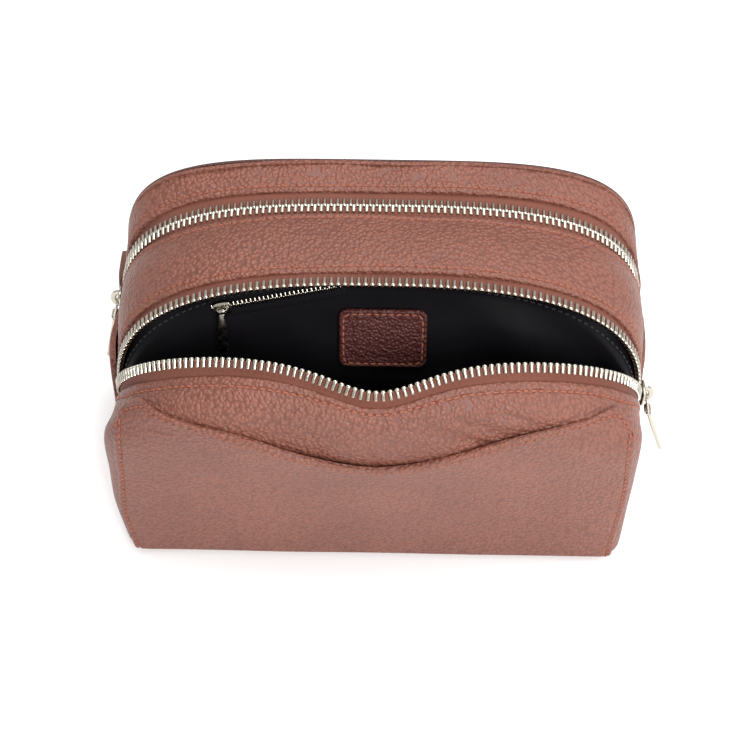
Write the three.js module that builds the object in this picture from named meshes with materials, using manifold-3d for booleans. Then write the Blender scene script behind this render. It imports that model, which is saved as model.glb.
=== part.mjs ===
// Double-compartment leather shaving kit bag: two zipped compartments side by side under one arched top.
// The rear zip is closed, the front zip is open and the front panel leans forward.
// Millimetres. +X is to the right, the front faces -Y, +Z is up.
// The origin is the centre of the base's underside.
import * as THREE from 'three';
import { mergeVertices } from 'three/addons/utils/BufferGeometryUtils.js';
import Module from 'manifold-3d';

const wasm = await Module();
wasm.setup();

// ---- Driving dimensions -------------------------------------------------------------------------

const GAP = 0.3;
const LEATHER = 2.2;
const LINING = 0.8;

const FOOT_HALF = 119;
const SIDE_LEATHER = 1.8;
const FLANK_TOP = 70;
const BACK_Y = 57;
const FRONT_Y = -60;
const BASE_THICK = 2.4;
const BASE_CORNER = 9;

// The arch over the bag at four depths: half-width, height and how square its shoulders are.
const ARCHES = [
  { y: BACK_Y, half: 128, height: 156.5, power: 4.1 },
  { y: 33, half: 127.5, height: 150.3, power: 3.1 },
  { y: 8, half: 127.5, height: 152.8, power: 3.0 },
  { y: -18, half: 124, height: 151, power: 2.6 },
  { y: -57, half: 119, height: 146, power: 2.7 },
];

const ARCH_STEPS = 26;

const REAR_ZIP_Y = 33;
const FRONT_ZIP_Y = -18;
const ZIP_END_Z = 72;
const ROW_GAP = 1.2;
const ROW_WIDTH = 2.8;
const ROW_THICK = 2.4;
const TAPE_WIDTH = 8;
const TAPE_SINK = 2.5;
const ZIP_REVEAL = 5;

// The flap is the upper part of the front panel. It turns about the line through the front zip's two ends.
const HINGE_Z = 76;
const FLAP_LEAN = 25;
const FLAP_SAG = 14;
const SAG_HALF_WIDTH = 32;
const FLAP_ROW_LEFT_Z = 82;
const FLAP_ROW_RIGHT_Z = 96;
const FLAP_FOOT_Z = 76;
const FLAP_FACE_Y = -57;
const FLAP_FACE_SLOPE = 0.25;
const LIP_DROP = 20;

// The side panels stand outside the bands; the front panel wraps round to meet them at a seam on each side.
const SIDE_SEAM_Y = -27;
const SIDE_TOP_BACK = 94;
const SIDE_TOP_FRONT = 86;
const NOTCH_HALF = 6.5;
const NOTCH_FOOT = 66;
const NOTCH_TOP = 110;
const LOWER_FRONT_TOP = 57;
const LOWER_WING_TOP = 67;
const FRONT_CORNER = 11;
const POCKET_HALF = 112;
const POCKET_THICK = 1.6;

const DIVIDER_TOP = new THREE.Vector2(-8, 145);
const DIVIDER_KNEE = new THREE.Vector2(-25, 94);
const DIVIDER_Y = -28;

const SLIDER_LENGTH = 12;
const SLIDER_HALF = 5;
const FRONT_SLIDER_Z = 79;
const REAR_SLIDER_Z = 85;
const LINK_LENGTH = 10.5;
const LINK_WIRE = 1.2;
const LINK_HALF = 4.3;
const PULL_LENGTH = 30;
const FRONT_HANG = { link: 12, pull: 20 };
const REAR_HANG = { link: 16, pull: 14 };

const POCKET_ZIP_LEFT = new THREE.Vector3(-70, 0, 131);
const POCKET_ZIP_TILT = 12;
const POCKET_ZIP_LENGTH = 56;

// ---- Materials ----------------------------------------------------------------------------------

const LOOKS = {
  leather: [0x9c6558, 0.6, 0],
  edge: [0x6a3a30, 0.6, 0],
  patch: [0x4a2522, 0.6, 0],
  tape: [0x9a6559, 0.85, 0],
  satin: [0x131015, 0.5, 0],
  board: [0x6f675c, 0.9, 0],
  nickel: [0xd8d8d4, 0.2, 1],
};

const bag = new THREE.Group();

function addPiece(name, geometry, look, parent = bag) {
  const [color, roughness, metalness] = LOOKS[look];
  const mesh = new THREE.Mesh(geometry, new THREE.MeshStandardMaterial({ color, roughness, metalness }));
  mesh.name = name;
  parent.add(mesh);
  return mesh;
}

// ---- Sheets: a grid of points given a thickness ---------------------------------------------------

// The direction square to a grid of points at row r, column c.
function gridNormal(grid, r, c) {
  const rowBefore = grid[Math.max(r - 1, 0)][c];
  const rowAfter = grid[Math.min(r + 1, grid.length - 1)][c];
  const columnBefore = grid[r][Math.max(c - 1, 0)];
  const columnAfter = grid[r][Math.min(c + 1, grid[r].length - 1)];
  const alongRows = rowAfter.clone().sub(rowBefore);
  const alongColumns = columnAfter.clone().sub(columnBefore);
  return alongRows.cross(alongColumns).normalize();
}

// The same grid moved along its normals. Rows run from the back of the bag forward, columns left to right.
function offsetGrid(grid, distance) {
  return grid.map((row, r) => row.map((point, c) => {
    return point.clone().addScaledVector(gridNormal(grid, r, c), distance);
  }));
}

// A closed solid between two grids of equal size.
function solidBetween(outer, inner) {
  const rows = outer.length;
  const columns = outer[0].length;
  const positions = [];
  for (const grid of [outer, inner]) {
    for (const row of grid) {
      for (const p of row) {
        positions.push(p.x, p.y, p.z);
      }
    }
  }
  const at = (layer, r, c) => layer * rows * columns + r * columns + c;
  const indices = [];
  const quad = (a, b, c, d) => indices.push(a, b, c, a, c, d);
  for (let r = 0; r < rows - 1; r++) {
    for (let c = 0; c < columns - 1; c++) {
      quad(at(0, r, c), at(0, r + 1, c), at(0, r + 1, c + 1), at(0, r, c + 1));
      quad(at(1, r, c), at(1, r, c + 1), at(1, r + 1, c + 1), at(1, r + 1, c));
    }
    quad(at(0, r, 0), at(1, r, 0), at(1, r + 1, 0), at(0, r + 1, 0));
    const last = columns - 1;
    quad(at(0, r, last), at(0, r + 1, last), at(1, r + 1, last), at(1, r, last));
  }
  for (let c = 0; c < columns - 1; c++) {
    quad(at(0, 0, c), at(0, 0, c + 1), at(1, 0, c + 1), at(1, 0, c));
    const last = rows - 1;
    quad(at(0, last, c), at(1, last, c), at(1, last, c + 1), at(0, last, c + 1));
  }
  const geometry = new THREE.BufferGeometry();
  geometry.setAttribute('position', new THREE.Float32BufferAttribute(positions, 3));
  geometry.setIndex(facingOut(positions, indices));
  return geometry;
}

// The triangles turned so that the solid they close has a positive volume.
function facingOut(positions, indices) {
  const corner = (i) => new THREE.Vector3().fromArray(positions, 3 * i);
  let volume = 0;
  for (let i = 0; i < indices.length; i += 3) {
    const [a, b, c] = [corner(indices[i]), corner(indices[i + 1]), corner(indices[i + 2])];
    volume += a.dot(b.cross(c));
  }
  return volume < 0 ? indices.slice().reverse() : indices;
}

// A sheet of the given thickness lying inside the grid.
function sheet(grid, thickness, sink = 0) {
  const outer = sink === 0 ? grid : offsetGrid(grid, -sink);
  return solidBetween(outer, offsetGrid(grid, -sink - thickness));
}

// ---- Joining and cutting solids -------------------------------------------------------------------

function toSolid(geometry) {
  const bare = geometry.clone();
  bare.deleteAttribute('normal');
  bare.deleteAttribute('uv');
  const merged = mergeVertices(bare, 1e-4);
  const vertProperties = new Float32Array(merged.getAttribute('position').array);
  const triVerts = new Uint32Array(merged.getIndex().array);
  return new wasm.Manifold(new wasm.Mesh({ numProp: 3, vertProperties, triVerts }));
}

function toGeometry(solid) {
  const mesh = solid.getMesh();
  const geometry = new THREE.BufferGeometry();
  geometry.setAttribute('position', new THREE.Float32BufferAttribute(mesh.vertProperties, 3));
  geometry.setIndex(Array.from(mesh.triVerts));
  return geometry;
}

// ---- The arched surface -------------------------------------------------------------------------

function archAt(y) {
  const behind = ARCHES.findLast((arch, i) => arch.y >= y || i === 0);
  const ahead = ARCHES[Math.min(ARCHES.indexOf(behind) + 1, ARCHES.length - 1)];
  const t = ahead === behind ? 0 : THREE.MathUtils.clamp((behind.y - y) / (behind.y - ahead.y), 0, 1);
  const mix = (key) => THREE.MathUtils.lerp(behind[key], ahead[key], t);
  return { half: mix('half'), height: mix('height'), power: mix('power') };
}

// A point on the arch at depth y. The turn runs from 0 at the left shoulder line to PI at the right one.
function archPoint(y, turn, inset = 0) {
  const { half, height, power } = archAt(y);
  const bend = 2 / power;
  const cosine = Math.cos(turn);
  const x = -Math.sign(cosine) * Math.abs(cosine) ** bend * (half - inset);
  const z = FLANK_TOP + Math.abs(Math.sin(turn)) ** bend * (height - FLANK_TOP - inset);
  return new THREE.Vector3(x, y, z);
}

// The turn at which the arch reaches height z on its left side.
function turnAtHeight(y, z, inset = 0) {
  const { height, power } = archAt(y);
  const share = THREE.MathUtils.clamp((z - FLANK_TOP) / (height - FLANK_TOP - inset), 0, 1);
  return Math.asin(share ** (power / 2));
}

function archRow(y, leftZ, rightZ = leftZ, inset = 0) {
  const start = turnAtHeight(y, leftZ, inset);
  const end = Math.PI - turnAtHeight(y, rightZ, inset);
  const row = [];
  for (let i = 0; i <= ARCH_STEPS; i++) {
    row.push(archPoint(y, THREE.MathUtils.lerp(start, end, i / ARCH_STEPS), inset));
  }
  return row;
}

// The bag's half-width below the arch, at depth y and height z.
function flankX(y, z) {
  return THREE.MathUtils.lerp(FOOT_HALF, archAt(y).half, THREE.MathUtils.clamp(z / FLANK_TOP, 0, 1));
}

// A strip of material over the arch between depths y0 and y1.
function band(y0, y1, thickness, sink = 0, rows = 2) {
  const back = Math.max(y0, y1);
  const front = Math.min(y0, y1);
  const grid = [];
  for (let i = 0; i <= rows; i++) {
    grid.push(archRow(THREE.MathUtils.lerp(back, front, i / rows), ZIP_END_Z));
  }
  return sheet(grid, thickness, sink);
}

// ---- Base, back and sides -----------------------------------------------------------------------

function plate(halfX, y0, y1, radius, z0, z1) {
  const shape = new THREE.Shape();
  shape.moveTo(-halfX + radius, y0);
  shape.lineTo(halfX - radius, y0);
  shape.absarc(halfX - radius, y0 + radius, radius, -Math.PI / 2, 0, false);
  shape.absarc(halfX - radius, y1 - radius, radius, 0, Math.PI / 2, false);
  shape.absarc(-halfX + radius, y1 - radius, radius, Math.PI / 2, Math.PI, false);
  shape.absarc(-halfX + radius, y0 + radius, radius, Math.PI, Math.PI * 1.5, false);
  const geometry = new THREE.ExtrudeGeometry(shape, { depth: z1 - z0, bevelEnabled: false, curveSegments: 4 });
  return geometry.translate(0, 0, z0);
}

function box(x0, x1, y0, y1, z0, z1) {
  const geometry = new THREE.BoxGeometry(x1 - x0, y1 - y0, z1 - z0);
  return geometry.translate((x0 + x1) / 2, (y0 + y1) / 2, (z0 + z1) / 2);
}

const BASE_HALF = FOOT_HALF + GAP + SIDE_LEATHER;
addPiece('base_panel', plate(BASE_HALF, FRONT_Y, BACK_Y, BASE_CORNER, 0, BASE_THICK), 'leather');
const FLOOR_Z = BASE_THICK + GAP;
const STIFFENER_TOP = FLOOR_Z + 1.5;
addPiece('base_stiffener', plate(FOOT_HALF - 5, FRONT_Y + 5, BACK_Y - 5, 6, FLOOR_Z, STIFFENER_TOP), 'board');

// An upright wall filling the arch at one depth, flat and square to Y.
function archPlate(y0, y1, inset, footZ) {
  const outline = archRow(y1, FLANK_TOP, FLANK_TOP, inset).map((p) => new THREE.Vector2(p.x, p.z));
  const footX = flankX(y1, footZ) - inset;
  const shape = new THREE.Shape([new THREE.Vector2(-footX, footZ), ...outline, new THREE.Vector2(footX, footZ)]);
  const geometry = new THREE.ExtrudeGeometry(shape, { depth: y1 - y0, bevelEnabled: false });
  return geometry.rotateX(Math.PI / 2).translate(0, y1, 0);
}

const BACK_PANEL_Y = BACK_Y - LEATHER;
addPiece('back_panel', archPlate(BACK_PANEL_Y, BACK_Y, 0, FLOOR_Z), 'leather');

function backBinding() {
  const cord = 1.3;
  const outset = -cord - 3 * GAP;
  const foot = flankX(BACK_Y, FLOOR_Z + cord) - outset;
  const route = archRow(BACK_Y, FLANK_TOP, FLANK_TOP, outset);
  const ends = [-1, 1].map((side) => new THREE.Vector3(side * foot, BACK_Y, FLOOR_Z + cord));
  const path = new THREE.CatmullRomCurve3([ends[0], ...route, ends[1]], false, 'centripetal');
  const round = new THREE.Shape().absarc(0, 0, cord, 0, Math.PI * 2);
  const geometry = new THREE.ExtrudeGeometry(round, { steps: 44, extrudePath: path, curveSegments: 4 });
  return geometry.translate(0, -cord, 0);
}

addPiece('back_binding', backBinding(), 'edge');

// The outer half-width at depth y and any height: the straight flank, then the arch's own curve.
function outerX(y, z) {
  return z <= FLANK_TOP ? flankX(y, z) : -archPoint(y, turnAtHeight(y, z)).x;
}

// A side panel overlaps the ends of the bands. Its top edge is cut down round the rear zip and in front of the front one.
function sidePanel(side) {
  const depths = [BACK_PANEL_Y - 1, 43, REAR_ZIP_Y, 20, 8, -5, FRONT_ZIP_Y, SIDE_SEAM_Y];
  const grid = depths.map((y) => {
    const share = (y - SIDE_SEAM_Y) / (BACK_PANEL_Y - SIDE_SEAM_Y);
    const top = THREE.MathUtils.lerp(SIDE_TOP_FRONT, SIDE_TOP_BACK, share);
    return [FLOOR_Z, 25, 48, FLANK_TOP, top].map((z) => {
      return new THREE.Vector3(side * (outerX(y, z) + GAP), y, z);
    });
  });
  let solid = toSolid(sheet(grid, side * SIDE_LEATHER));
  const rearNotch = [REAR_ZIP_Y - NOTCH_HALF, REAR_ZIP_Y + NOTCH_HALF];
  const frontNotch = [SIDE_SEAM_Y - NOTCH_HALF, FRONT_ZIP_Y + NOTCH_HALF];
  const reach = [side * 100, side * 140].sort((a, b) => a - b);
  for (const depths of [rearNotch, frontNotch]) {
    solid = solid.subtract(toSolid(box(...reach, ...depths, NOTCH_FOOT, NOTCH_TOP)));
  }
  return toGeometry(solid);
}

addPiece('side_panel_left', sidePanel(-1), 'leather');
addPiece('side_panel_right', sidePanel(1), 'leather');

// ---- Bands and zips over the arch ---------------------------------------------------------------

const ROW_EDGE = ROW_GAP / 2;
addPiece('rear_band', band(BACK_PANEL_Y - 1.6, REAR_ZIP_Y + ZIP_REVEAL, LEATHER), 'leather');
addPiece('middle_band', band(REAR_ZIP_Y - ZIP_REVEAL, FRONT_ZIP_Y + ZIP_REVEAL, LEATHER, 0, 3), 'leather');

function zipSide(name, centre, toward) {
  const inner = centre + toward * ROW_EDGE;
  addPiece(`${name}_teeth`, band(inner, inner + toward * ROW_WIDTH, ROW_THICK, 0, 1), 'nickel');
  addPiece(`${name}_tape`, band(inner, inner + toward * TAPE_WIDTH, LINING, TAPE_SINK, 1), 'tape');
}

zipSide('rear_zip_back', REAR_ZIP_Y, 1);
zipSide('rear_zip_front', REAR_ZIP_Y, -1);
zipSide('front_zip_back', FRONT_ZIP_Y, 1);

// The small metal bar that joins the two rows at the right-hand end of each zip.
function bottomStop(y) {
  const face = archAt(y).half;
  return box(face + 0.2, face + 1.2, y - ROW_WIDTH, y + ROW_WIDTH, ZIP_END_Z - 4.5, ZIP_END_Z - 1);
}

// ---- The open front flap ------------------------------------------------------------------------

// Turns a point of the closed bag about the line through the zip's ends, by an angle in degrees.
function lean(point, degrees) {
  const angle = THREE.MathUtils.degToRad(degrees);
  const forward = point.y - FRONT_ZIP_Y;
  const up = point.z - HINGE_Z;
  const y = FRONT_ZIP_Y + forward * Math.cos(angle) - up * Math.sin(angle);
  const z = HINGE_Z + up * Math.cos(angle) + forward * Math.sin(angle);
  return new THREE.Vector3(point.x, y, z);
}

// The middle of the free edge hangs further forward than its shoulders.
function sagAt(x) {
  return FLAP_SAG / (1 + (x / SAG_HALF_WIDTH) ** 2);
}

function flapEdgeRow(y, leftZ, rightZ) {
  return archRow(y, leftZ, rightZ).map((p) => lean(p, FLAP_LEAN + sagAt(p.x)));
}

const FLAP_ROW_Y = FRONT_ZIP_Y - ROW_EDGE;
const FLAP_LIP_Y = FRONT_ZIP_Y - ZIP_REVEAL;
const FLAP_TURNS = [0, 0.33, 0.67, 1];

// Rows of the flap's outer surface: over the lip in a quarter round, then down the face to its foot.
function flapGrid() {
  const grid = FLAP_TURNS.map((share) => {
    const quarter = share * Math.PI / 2;
    const y = THREE.MathUtils.lerp(FLAP_LIP_Y, FLAP_FACE_Y, Math.sin(quarter));
    const inset = LIP_DROP * (1 - Math.cos(quarter));
    const row = archRow(y, FLAP_ROW_LEFT_Z + 6 * share, FLAP_ROW_LEFT_Z + 6 * share, inset);
    return row.map((p) => lean(p, FLAP_LEAN + sagAt(p.x) * Math.cos(quarter) ** 2));
  });
  const crest = grid.at(-1);
  for (const share of [0.5, 1]) {
    grid.push(crest.map((p) => {
      const foot = Math.min(p.z - 3, FLAP_FOOT_Z);
      const drop = (p.z - foot) * share;
      return new THREE.Vector3(p.x, p.y + drop * FLAP_FACE_SLOPE, p.z - drop);
    }));
  }
  return grid;
}

const FLAP_GRID = flapGrid();
addPiece('front_flap', sheet(FLAP_GRID, LEATHER), 'leather');
addPiece('front_flap_lining', sheet(FLAP_GRID.slice(1), LINING, LEATHER + GAP), 'satin');

function flapStrip(width, thickness, sink) {
  const rows = [FLAP_ROW_Y, FLAP_ROW_Y - width];
  const grid = rows.map((y) => flapEdgeRow(y, FLAP_ROW_LEFT_Z, FLAP_ROW_RIGHT_Z));
  return sheet(grid, thickness, sink);
}

addPiece('front_zip_front_teeth', flapStrip(ROW_WIDTH, ROW_THICK, 0), 'nickel');
addPiece('front_zip_front_tape', flapStrip(ZIP_REVEAL - ROW_EDGE - GAP, LINING, TAPE_SINK), 'tape');

// The slip pocket's leather lies over the face of the panel, above and below the flap's foot.
function pocketUpper() {
  const face = FLAP_GRID.slice(3).map((row) => row.filter((p) => Math.abs(p.x) < POCKET_HALF - 2));
  return solidBetween(offsetGrid(face, GAP + POCKET_THICK), offsetGrid(face, GAP));
}

addPiece('slip_pocket_upper', pocketUpper(), 'leather');

// ---- Lower front panel and pocket ---------------------------------------------------------------

// The horizontal outline of the front panel at height z, from the left seam round the front to the right one.
function frontOutline(z) {
  const half = flankX(SIDE_SEAM_Y, z) + GAP;
  const shape = new THREE.Shape();
  shape.moveTo(-half, SIDE_SEAM_Y + 2 * GAP - 2);
  shape.lineTo(-half, FRONT_Y + FRONT_CORNER);
  shape.absarc(-half + FRONT_CORNER, FRONT_Y + FRONT_CORNER, FRONT_CORNER, Math.PI, Math.PI * 1.5, false);
  shape.lineTo(half - FRONT_CORNER, FRONT_Y);
  shape.absarc(half - FRONT_CORNER, FRONT_Y + FRONT_CORNER, FRONT_CORNER, -Math.PI / 2, 0, false);
  shape.lineTo(half, SIDE_SEAM_Y + 2 * GAP - 2);
  return shape.getPoints(5);
}

function frontPanel() {
  const rows = [1, 0.5, 0].map((share) => {
    return frontOutline(NOTCH_FOOT * share).map((p) => {
      const back = (p.y - FRONT_Y) / (SIDE_SEAM_Y - FRONT_Y);
      const top = THREE.MathUtils.lerp(LOWER_FRONT_TOP, LOWER_WING_TOP, back);
      return new THREE.Vector3(p.x, p.y, THREE.MathUtils.lerp(FLOOR_Z, top, share));
    });
  });
  return sheet(rows, LEATHER);
}

addPiece('front_panel', frontPanel(), 'leather');
const POCKET_Y = FRONT_Y - GAP;
const POCKET_BOTTOM_HALF = FOOT_HALF - FRONT_CORNER;
addPiece('slip_pocket_lower',
  box(-POCKET_BOTTOM_HALF, POCKET_BOTTOM_HALF, POCKET_Y - POCKET_THICK, POCKET_Y, FLOOR_Z, LOWER_FRONT_TOP), 'leather');

// ---- Linings and the divider ----------------------------------------------------------------------

// An open-topped tray of lining cloth.
function tray(halfX, y0, y1, z0, z1) {
  const outer = toSolid(box(-halfX, halfX, y0, y1, z0, z1));
  const hollow = toSolid(box(-halfX + 1, halfX - 1, y0 + 1, y1 - 1, z0 + 1, z1 + 1));
  return toGeometry(outer.subtract(hollow));
}

const LINING_HALF = FOOT_HALF - LEATHER - 3;
const LINING_FLOOR = STIFFENER_TOP + GAP;
const DIVIDER_THICK = 1.2;
const FRONT_LINING_FRONT = FRONT_Y + LEATHER + 5;
addPiece('front_compartment_lining',
  tray(LINING_HALF, FRONT_LINING_FRONT, DIVIDER_Y - GAP, LINING_FLOOR, LOWER_FRONT_TOP), 'satin');
addPiece('rear_compartment_lining',
  tray(LINING_HALF, DIVIDER_Y + 6, BACK_PANEL_Y - 1, LINING_FLOOR, 88), 'satin');

// The wall between the compartments leans back at its top, where the patch and the inner zip are sewn on.
function divider() {
  const knee = DIVIDER_KNEE;
  const profile = [DIVIDER_TOP, DIVIDER_TOP.clone().lerp(knee, 0.5), knee, new THREE.Vector2(DIVIDER_Y, 72)];
  profile.push(new THREE.Vector2(DIVIDER_Y, LINING_FLOOR));
  const grid = profile.map(({ x: y, y: z }) => {
    const turn = turnAtHeight(y, z, 5);
    const half = z > FLANK_TOP ? -archPoint(y, turn, 5).x : flankX(y, z) - LEATHER - 2;
    return [-1, -0.5, 0, 0.5, 1].map((share) => new THREE.Vector3(share * half, y, z));
  });
  return sheet(grid, DIVIDER_THICK);
}

addPiece('divider_wall', divider(), 'satin');

const LEAN_ANGLE = Math.atan2(DIVIDER_TOP.x - DIVIDER_KNEE.x, DIVIDER_TOP.y - DIVIDER_KNEE.y);

// A group lying on the divider's leaning face: local X to the right, local Y up the wall, local Z toward the front.
function onDivider(x, z, tilt = 0) {
  const share = (DIVIDER_TOP.y - z) / (DIVIDER_TOP.y - DIVIDER_KNEE.y);
  const y = THREE.MathUtils.lerp(DIVIDER_TOP.x, DIVIDER_KNEE.x, share);
  const group = new THREE.Group();
  group.position.set(x, y, z);
  group.rotation.set(Math.PI / 2 - LEAN_ANGLE, 0, THREE.MathUtils.degToRad(tilt), 'XYZ');
  bag.add(group);
  return group;
}

const patchPlace = onDivider(2, 116);
addPiece('leather_patch', plate(20, -15, 15, 4, GAP + 0.5, GAP + 1.9), 'patch', patchPlace);

const pocketZip = onDivider(POCKET_ZIP_LEFT.x, POCKET_ZIP_LEFT.z, POCKET_ZIP_TILT);
const POCKET_TAPE_Z = 0.8;
const POCKET_ROW_Z = POCKET_TAPE_Z + 0.6 + GAP;
const POCKET_ZIP_START = -6;
addPiece('pocket_zip_tape',
  box(POCKET_ZIP_START, POCKET_ZIP_LENGTH, -6, 6, POCKET_TAPE_Z, POCKET_TAPE_Z + 0.6), 'satin', pocketZip);
for (const [name, toward] of [['pocket_zip_upper_teeth', 1], ['pocket_zip_lower_teeth', -1]]) {
  const edges = [toward * 0.5, toward * 2].sort((a, b) => a - b);
  addPiece(name,
    box(POCKET_ZIP_START, POCKET_ZIP_LENGTH, ...edges, POCKET_ROW_Z, POCKET_ROW_Z + 1.2), 'nickel', pocketZip);
}

// The flat cloth pocket hangs behind the divider.
const pouchPlace = onDivider(-30, 104);
addPiece('inner_pocket_pouch', box(-42, 42, -8, 22, -4.2, -1.8), 'satin', pouchPlace);

// ---- Zip stops ------------------------------------------------------------------------------------

addPiece('rear_zip_bottom_stop', bottomStop(REAR_ZIP_Y), 'nickel');
addPiece('front_zip_bottom_stop', bottomStop(FRONT_ZIP_Y), 'nickel');

// ---- Sliders and pulls ----------------------------------------------------------------------------

// In a slider's own frame X points out of the bag, Z runs up along the zip and the rows' faces lie at X = 0.
const PLATE_FOOT = 0.8;
const PLATE_TOP = 2;
const CROWN_TOP = 6.2;
const LINK_X = 3.8;
const LINK_PIVOT_Z = -2;
const LOWER_PLATE_TOP = -4.8;
const WEB_HALF = 0.25;

function sliderBody() {
  const half = SLIDER_LENGTH / 2;
  const upper = toSolid(box(PLATE_FOOT, PLATE_TOP, -SLIDER_HALF, SLIDER_HALF, -half, half));
  const lower = toSolid(box(LOWER_PLATE_TOP - 1.3, LOWER_PLATE_TOP, -SLIDER_HALF, SLIDER_HALF, -half, half));
  const web = toSolid(box(LOWER_PLATE_TOP - 1, PLATE_TOP - 0.5, -WEB_HALF, WEB_HALF, 1, 5));
  const crown = toSolid(box(PLATE_TOP - 0.5, CROWN_TOP, -1.3, 1.3, -4.6, 4.6));
  const eye = toSolid(box(PLATE_TOP, CROWN_TOP - 1.3, -2, 2, -3.2, 3.2));
  return toGeometry(upper.add(lower).add(web).add(crown.subtract(eye)));
}

function linkRing() {
  const wire = LINK_WIRE / 2;
  const outer = toSolid(box(-wire, wire, -LINK_HALF, LINK_HALF, -LINK_LENGTH, wire));
  const inside = LINK_HALF - LINK_WIRE;
  const hole = toSolid(box(-2, 2, -inside, inside, -LINK_LENGTH + LINK_WIRE, -wire));
  return toGeometry(outer.subtract(hole));
}

function pullPlate() {
  const half = PULL_LENGTH;
  const shape = new THREE.Shape();
  shape.moveTo(-2.4, 0);
  shape.lineTo(-3.4, -5);
  shape.lineTo(-4.5, -half + 3);
  shape.quadraticCurveTo(-4.5, -half, -1.5, -half);
  shape.lineTo(1.5, -half);
  shape.quadraticCurveTo(4.5, -half, 4.5, -half + 3);
  shape.lineTo(3.4, -5);
  shape.lineTo(2.4, 0);
  const flat = new THREE.ExtrudeGeometry(shape, { depth: 1.6, bevelEnabled: false, curveSegments: 4 });
  flat.rotateX(Math.PI / 2).rotateZ(Math.PI / 2).translate(-0.8, 0, 0);
  const knuckle = new THREE.CylinderGeometry(1.8, 1.8, 4.8, 14);
  const bore = new THREE.CylinderGeometry(1, 1, 8, 14);
  const solid = toSolid(flat).add(toSolid(knuckle)).subtract(toSolid(bore));
  return toGeometry(solid);
}

// The side of the bag holds each link and pull a little out of the vertical, by the angles in hang.
function zipSlider(name, side, y, z, hang) {
  const [linkAngle, pullAngle] = [hang.link, hang.pull].map((angle) => THREE.MathUtils.degToRad(angle));
  const drop = LINK_LENGTH - LINK_WIRE / 2;
  const link = linkRing().rotateY(-linkAngle).translate(LINK_X, 0, LINK_PIVOT_Z);
  const pullX = LINK_X + drop * Math.sin(linkAngle);
  const pullZ = LINK_PIVOT_Z - drop * Math.cos(linkAngle);
  const pull = pullPlate().rotateY(-pullAngle).translate(pullX, 0, pullZ);
  const place = new THREE.Group();
  const outer = archPoint(y, turnAtHeight(y, z)).x;
  place.position.set(side * Math.abs(outer), y, z);
  place.rotation.z = side > 0 ? 0 : Math.PI;
  bag.add(place);
  addPiece(`${name}_slider`, sliderBody(), 'nickel', place);
  addPiece(`${name}_pull_link`, link, 'nickel', place);
  addPiece(`${name}_pull_tab`, pull, 'nickel', place);
}

zipSlider('front', 1, FRONT_ZIP_Y, FRONT_SLIDER_Z, FRONT_HANG);
zipSlider('rear', -1, REAR_ZIP_Y, REAR_SLIDER_Z, REAR_HANG);

// The inner pocket's small slider rides on its two rows, and its pull hangs down the wall.
const POCKET_SLIDER_FOOT = POCKET_ROW_Z + 1.2 + GAP;
const POCKET_PLATE_TOP = POCKET_SLIDER_FOOT + 1.2;
const POCKET_PIVOT_Z = POCKET_PLATE_TOP + 2.1;

function pocketSlider() {
  const body = toSolid(box(-4, 4, -3, 3, POCKET_SLIDER_FOOT, POCKET_PLATE_TOP));
  const crown = toSolid(box(-2.8, 2.8, -0.5, 0.5, POCKET_PLATE_TOP - 0.2, POCKET_PIVOT_Z + 0.5));
  const eye = toSolid(box(-1.9, 1.9, -2, 2, POCKET_PLATE_TOP, POCKET_PIVOT_Z - 0.5));
  return toGeometry(body.add(crown.subtract(eye)));
}

// The pull is turned back against the zip's tilt so that it hangs straight down.
function pocketPull() {
  const plateShape = box(-1.6, 1.6, -22, -1.1, -0.5, 0.5);
  plateShape.rotateZ(-THREE.MathUtils.degToRad(POCKET_ZIP_TILT));
  const knuckle = new THREE.CylinderGeometry(1.5, 1.5, 2.6, 14).rotateZ(Math.PI / 2);
  const bore = new THREE.CylinderGeometry(0.85, 0.85, 6, 14).rotateZ(Math.PI / 2);
  const solid = toSolid(plateShape).add(toSolid(knuckle)).subtract(toSolid(bore));
  return toGeometry(solid).translate(0, 0, POCKET_PIVOT_Z);
}

addPiece('pocket_slider', pocketSlider(), 'nickel', pocketZip);
addPiece('pocket_pull', pocketPull(), 'nickel', pocketZip);

export default bag;
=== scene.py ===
"""Double-compartment leather shaving kit bag with its front zip open: surfaces, zips, stitching and studio.

All shapes are worked out in millimetres as numpy grids and put into meshes in metres.
"""

import math

import bpy
import numpy as np
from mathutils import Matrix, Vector


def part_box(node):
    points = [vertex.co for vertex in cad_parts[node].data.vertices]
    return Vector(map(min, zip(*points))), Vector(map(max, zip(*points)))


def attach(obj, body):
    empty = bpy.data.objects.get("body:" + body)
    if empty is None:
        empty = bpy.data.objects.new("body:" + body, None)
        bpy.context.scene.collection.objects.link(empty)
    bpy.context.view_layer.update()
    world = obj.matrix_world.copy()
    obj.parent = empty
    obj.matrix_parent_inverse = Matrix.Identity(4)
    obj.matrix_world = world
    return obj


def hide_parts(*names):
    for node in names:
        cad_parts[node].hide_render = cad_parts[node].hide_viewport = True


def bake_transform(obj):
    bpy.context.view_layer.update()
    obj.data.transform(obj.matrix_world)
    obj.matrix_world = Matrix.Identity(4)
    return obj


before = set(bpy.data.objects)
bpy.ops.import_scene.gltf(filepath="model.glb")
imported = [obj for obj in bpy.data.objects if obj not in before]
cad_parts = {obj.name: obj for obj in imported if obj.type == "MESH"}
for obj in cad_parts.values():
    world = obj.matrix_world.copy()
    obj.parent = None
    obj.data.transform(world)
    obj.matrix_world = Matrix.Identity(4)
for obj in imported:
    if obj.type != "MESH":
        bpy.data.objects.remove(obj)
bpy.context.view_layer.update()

bl_info = {
    "name": "Shaving Kit Bag",
    "version": (1, 0, 0),
    "blender": (4, 5, 0),
    "location": "View3D > Sidebar > Kit Bag",
    "description": "Builds a leather shaving kit bag with two zipped compartments",
    "category": "Add Mesh",
}

MM = 0.001

# ---- Driving dimensions, in millimetres, shared with the frame ----

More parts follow.
